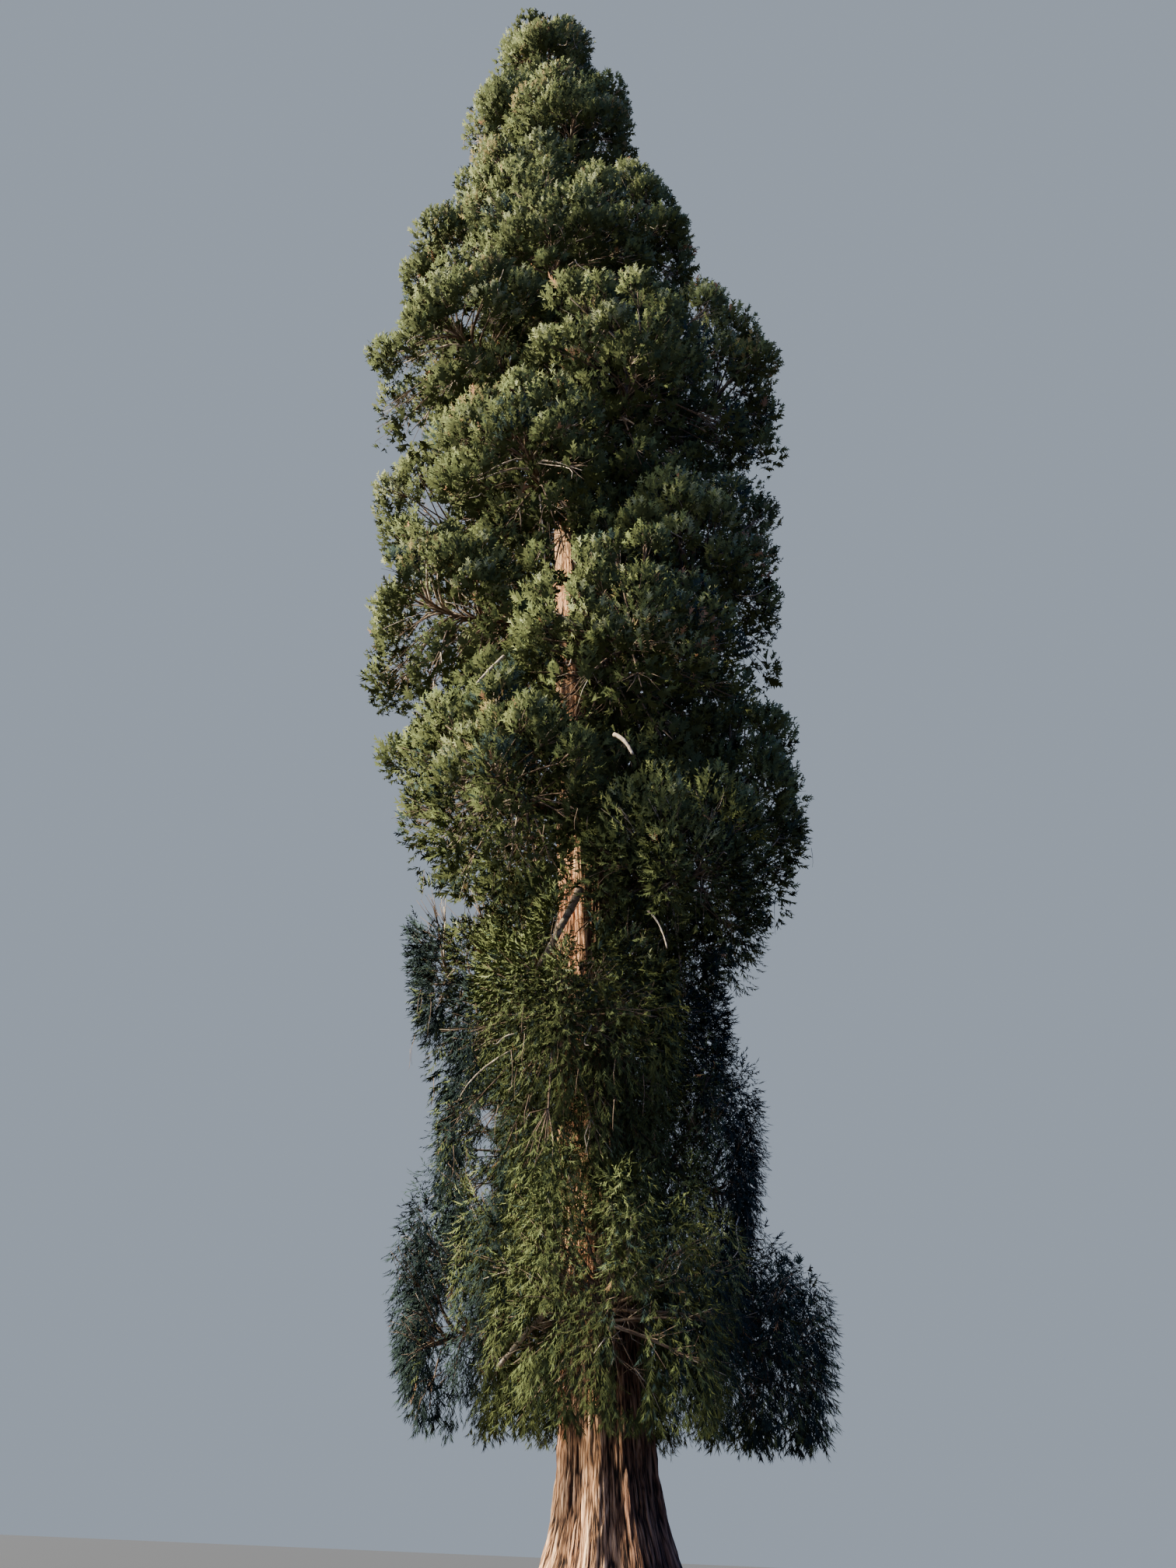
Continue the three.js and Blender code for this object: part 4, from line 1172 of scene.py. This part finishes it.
def sprays(roots, grow, facing, lengths, bends, scale, lean, slender):
    """Feathered sprays as triangles (n, CORDS + 1, 3, 3). A stem bends from its root by bends, the more
    the further along it. Cords leave it to both sides in turn, lean forwards and lie as flat to the
    facing direction as the stem allows. The last triangle carries the stem on to a point."""
    count = len(roots)
    across = unit(np.cross(grow, facing))
    front = np.cross(across, grow)
    place = (np.arange(CORDS) + 0.6) / (CORDS + 1)
    lengths = lengths[:, None, None]
    scale = scale[:, None]
    slender = slender[:, None]
    share = place[:, None]
    feet = roots[:, None] + (grow[:, None] * share + bends[:, None] * share**2) * lengths
    along = unit(grow[:, None] + 2 * bends[:, None] * share)
    side = np.where(np.arange(CORDS) % 2, 1.0, -1.0)[:, None]
    twist = luck.normal(0, CORD_TWIST, (count, CORDS, 1))
    outwards = across[:, None] * np.cos(twist) * side + front[:, None] * np.sin(twist)
    lean = lean[:, None] * (1 - 0.4 * share) * luck.uniform(0.8, 1.2, (count, CORDS, 1))
    reach = CORD_LENGTH * scale / slender * (1 - 0.2 * share) * luck.uniform(0.75, 1.2, (count, CORDS, 1))
    tips = feet + (along * np.cos(lean) + outwards * np.sin(lean)) * reach
    ahead = feet + along * CORD_FOOT * scale * slender
    turned = side > 0
    cords = np.stack([np.where(turned, ahead, feet), np.where(turned, feet, ahead), tips], 2)
    end = roots + (grow + bends) * lengths[:, 0]
    half = across * CORD_FOOT * scale[:, 0] * 0.3
    point = np.stack([feet[:, -1] - half, feet[:, -1] + half, end], 1)
    return np.concatenate([cords, point[:, None]], 1)


def stands_of(group):
    """Where sprays stand on one mass's tufts: spread evenly over each tuft, which is bumpy and taller where
    it hangs, with some deep inside. Gives the way each faces, its tuft's number, its root, how high on a
    bump it is, and whether it is deep inside."""
    count = len(group.centres)
    droop = droop_at(group.mass.centre[2])
    first = unit(luck.normal(0, 1, (count, 3)))
    second = unit(np.cross(first, luck.normal(0, 1, (count, 3))))
    turned = np.stack([first, second, np.cross(first, second)], 1)
    tries = round(mix(*SPRAYS, droop))
    normals = np.einsum("sk,pkd->psd", spread(tries), turned)
    number = np.broadcast_to(np.arange(count)[:, None], (count, tries))
    kept = np.einsum("psd,pd->ps", normals, group.ways) > SPRAY_FACING
    kept &= ~group.hidden[number] | (luck.random(number.shape) < mix(*HIDDEN_SHARE, droop))
    normals, number = normals[kept], number[kept]
    tall = tall_at(group.centres[:, 2])
    shape = (group.radii[:, None] * np.stack([tall**-NARROWING, tall**-NARROWING, tall], -1))[number]
    bumps = BUMP * np.stack([0 * tall + 1, 0 * tall + 1, tall**BUMP_STRETCH], -1)[number]
    bump = noise((group.centres[number] + normals * shape) / bumps)
    inner = luck.random(len(number)) < INNER_SHARE
    rise = np.where(inner, luck.uniform(0.3, 0.7, len(number)), 1 - BUMP_DEPTH * (1 - bump))
    roots = group.centres[number] + normals * shape * rise[:, None]
    clear = is_clear(roots) & inside_crown(roots)
    return [part[clear] for part in (unit(normals / shape), number, roots, bump, inner)]


def foliage_of(group):
    """All triangles of one mass's foliage, (n, 3, 3), the tone of each, and the way that each of its
    corners is lit: partly with its own face, partly as if it were the tuft's rounded skin."""
    normals, number, roots, bump, inner = stands_of(group)
    out = group.ways[number]
    droop = droop_at(roots[:, 2])[:, None]
    hang = droop * np.clip(0.9 - 0.5 * normals[:, 2:], 0, 1)
    grow = normals * mix(*SPRAY_AWAY, hang) + out * mix(*SPRAY_OUT, hang) + UP * mix(*SPRAY_UP, hang)
    grow = unit(grow + luck.normal(0, SPRAY_SCATTER, grow.shape) * mix(*SPRAY_UNREST, droop))
    facing = normals + 0.5 * out + luck.normal(0, 0.14, grow.shape)
    scale = np.where(inner[:, None], mix(*INNER_SCALE, droop), 1.0)
    scale *= mix(*SPRAY_SCALE, droop) * np.where(group.hidden[number], HIDDEN_SCALE, 1)[:, None]
    lengths = SPRAY_LENGTH * luck.uniform(0.75, 1.2, len(roots)) * (1 + HANG_LONGER * hang[:, 0] ** 2)
    lengths *= np.where(inner, mix(INNER_SCALE[0], 1, droop[:, 0]), 1)
    lengths = lengths * np.where(inside_crown(roots + grow * lengths[:, None]), 1, CUT_SHORT)
    bends = UP * mix(*SPRAY_BEND, droop)
    triangles = sprays(
        roots, grow, facing, lengths, bends, scale, mix(*CORD_LEAN, hang), mix(*SLENDER, hang)
    )
    outwards = unit(normals + 0.4 * out)[:, None]
    flat = unit(np.cross(triangles[:, :, 1] - triangles[:, :, 0], triangles[:, :, 2] - triangles[:, :, 0]))
    inwards = (flat * outwards).sum(-1) < 0
    triangles[inwards] = triangles[inwards][:, ::-1]
    flat[inwards] *= -1
    lit = unit(outwards * ROUND_LIGHT + flat * (1 - ROUND_LIGHT))
    # Sprays deep inside a tuft count as in a hollow and get the deep tone: painted shade.
    tone = tones_of(group, number, normals, np.where(inner, 0, bump))
    tones = np.repeat(tone[:, None], CORDS + 1, 1)
    # The cords near a spray's root take its darker root tone: partly the foliage's own colour, partly painted
    # shade.
    low = (np.arange(CORDS + 1) < CORDS // 4) | (luck.random(tones.shape) < 0.1)
    tones = np.where(low, ROOT_SHADE_TONES[tone][:, None], tones)
    return triangles.reshape(-1, 3, 3), tones.ravel(), np.repeat(lit.reshape(-1, 3), 3, 0)


def tones_of(group, number, normals, bump):
    """A tone for each spray: deep, as painted shade, in the hollows of its tuft or where it faces down, else
    one that most of its tuft shares, with light sprays as painted highlights on bumps that don't face down
    and a few that are dull or dead. Low tufts at the tree's sides are drawn dark as painted shade."""
    count = len(group.centres)
    z = group.centres[:, 2]
    high = luck.random(count) < (z - UPPER_FROM) / (UPPER_TO - UPPER_FROM)
    upper = luck.choice(UPPER_TONES, count)
    lower = luck.choice(LOWER_TONES, count)
    shaded = luck.choice(SIDE_SHADE_TONES, count)
    favourite = np.where(high, upper, lower)
    from_line = group.centres[:, 0] - axis_at(z)[:, 0]
    favourite[(luck.random(count) < DEAD_TUFTS) & (z > LOW_BARE)] = DEAD
    # Painted shade: low tufts far out at the tree's sides get the dark side tones.
    beyond = np.where(from_line < 0, -from_line - ASIDE_LEFT, from_line - ASIDE_RIGHT)
    aside = (luck.random(count) < beyond) & (z < ASIDE_BELOW)
    favourite = np.where(aside, shaded, favourite)
    favourite[group.hidden] = luck.choice(HIDDEN_TONES, count)[group.hidden]
    chance = luck.random(len(number))
    tone = np.where(chance < 0.8, favourite[number], np.where(aside[number], BLUE, GREEN))
    share = mix(*HIGHLIGHT_SHARE, droop_at(group.mass.centre[2]))
    # Painted highlight: sprays on bumps that don't face down take the light tone.
    painted_highlight = (bump > 0.5) & (chance < share) & (normals[:, 2] > -0.1) & ~(group.hidden | aside)[number]
    tone = np.where(painted_highlight, LIGHT, tone)
    # Painted shade: sprays in a tuft's hollows or facing down take the deep tone.
    tone = np.where((bump < 0.3) | (normals[:, 2] < -0.7), np.where(aside[number], DARK_SHADE, DEEP), tone)
    return np.where((chance > 0.7) & (chance < 0.7 + DEAD_SPRAYS), DEAD, tone)


def add_foliage(number, members, triangles, tones, normals):
    """One piece of foliage, which stands for the masses in it."""
    points = np.concatenate(triangles).reshape(-1, 3)
    faces = np.arange(len(points)).reshape(-1, 3)
    skin = (np.concatenate(tones), np.concatenate(normals))
    piece = mesh_object(f"foliage_{number}", points, [faces], tone_finishes, *skin)
    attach(piece, "root")
    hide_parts(*solids_of(members))


pending = []
pending_count = 0
piece_number = 1
for group in tufts:
    grown = foliage_of(group)
    if pending_count + len(grown[0]) > MOST_IN_PIECE:
        add_foliage(piece_number, *zip(*pending))
        pending = []
        pending_count = 0
        piece_number += 1
    pending.append((group.mass.name, *grown))
    pending_count += len(grown[0])
add_foliage(piece_number, *zip(*pending))
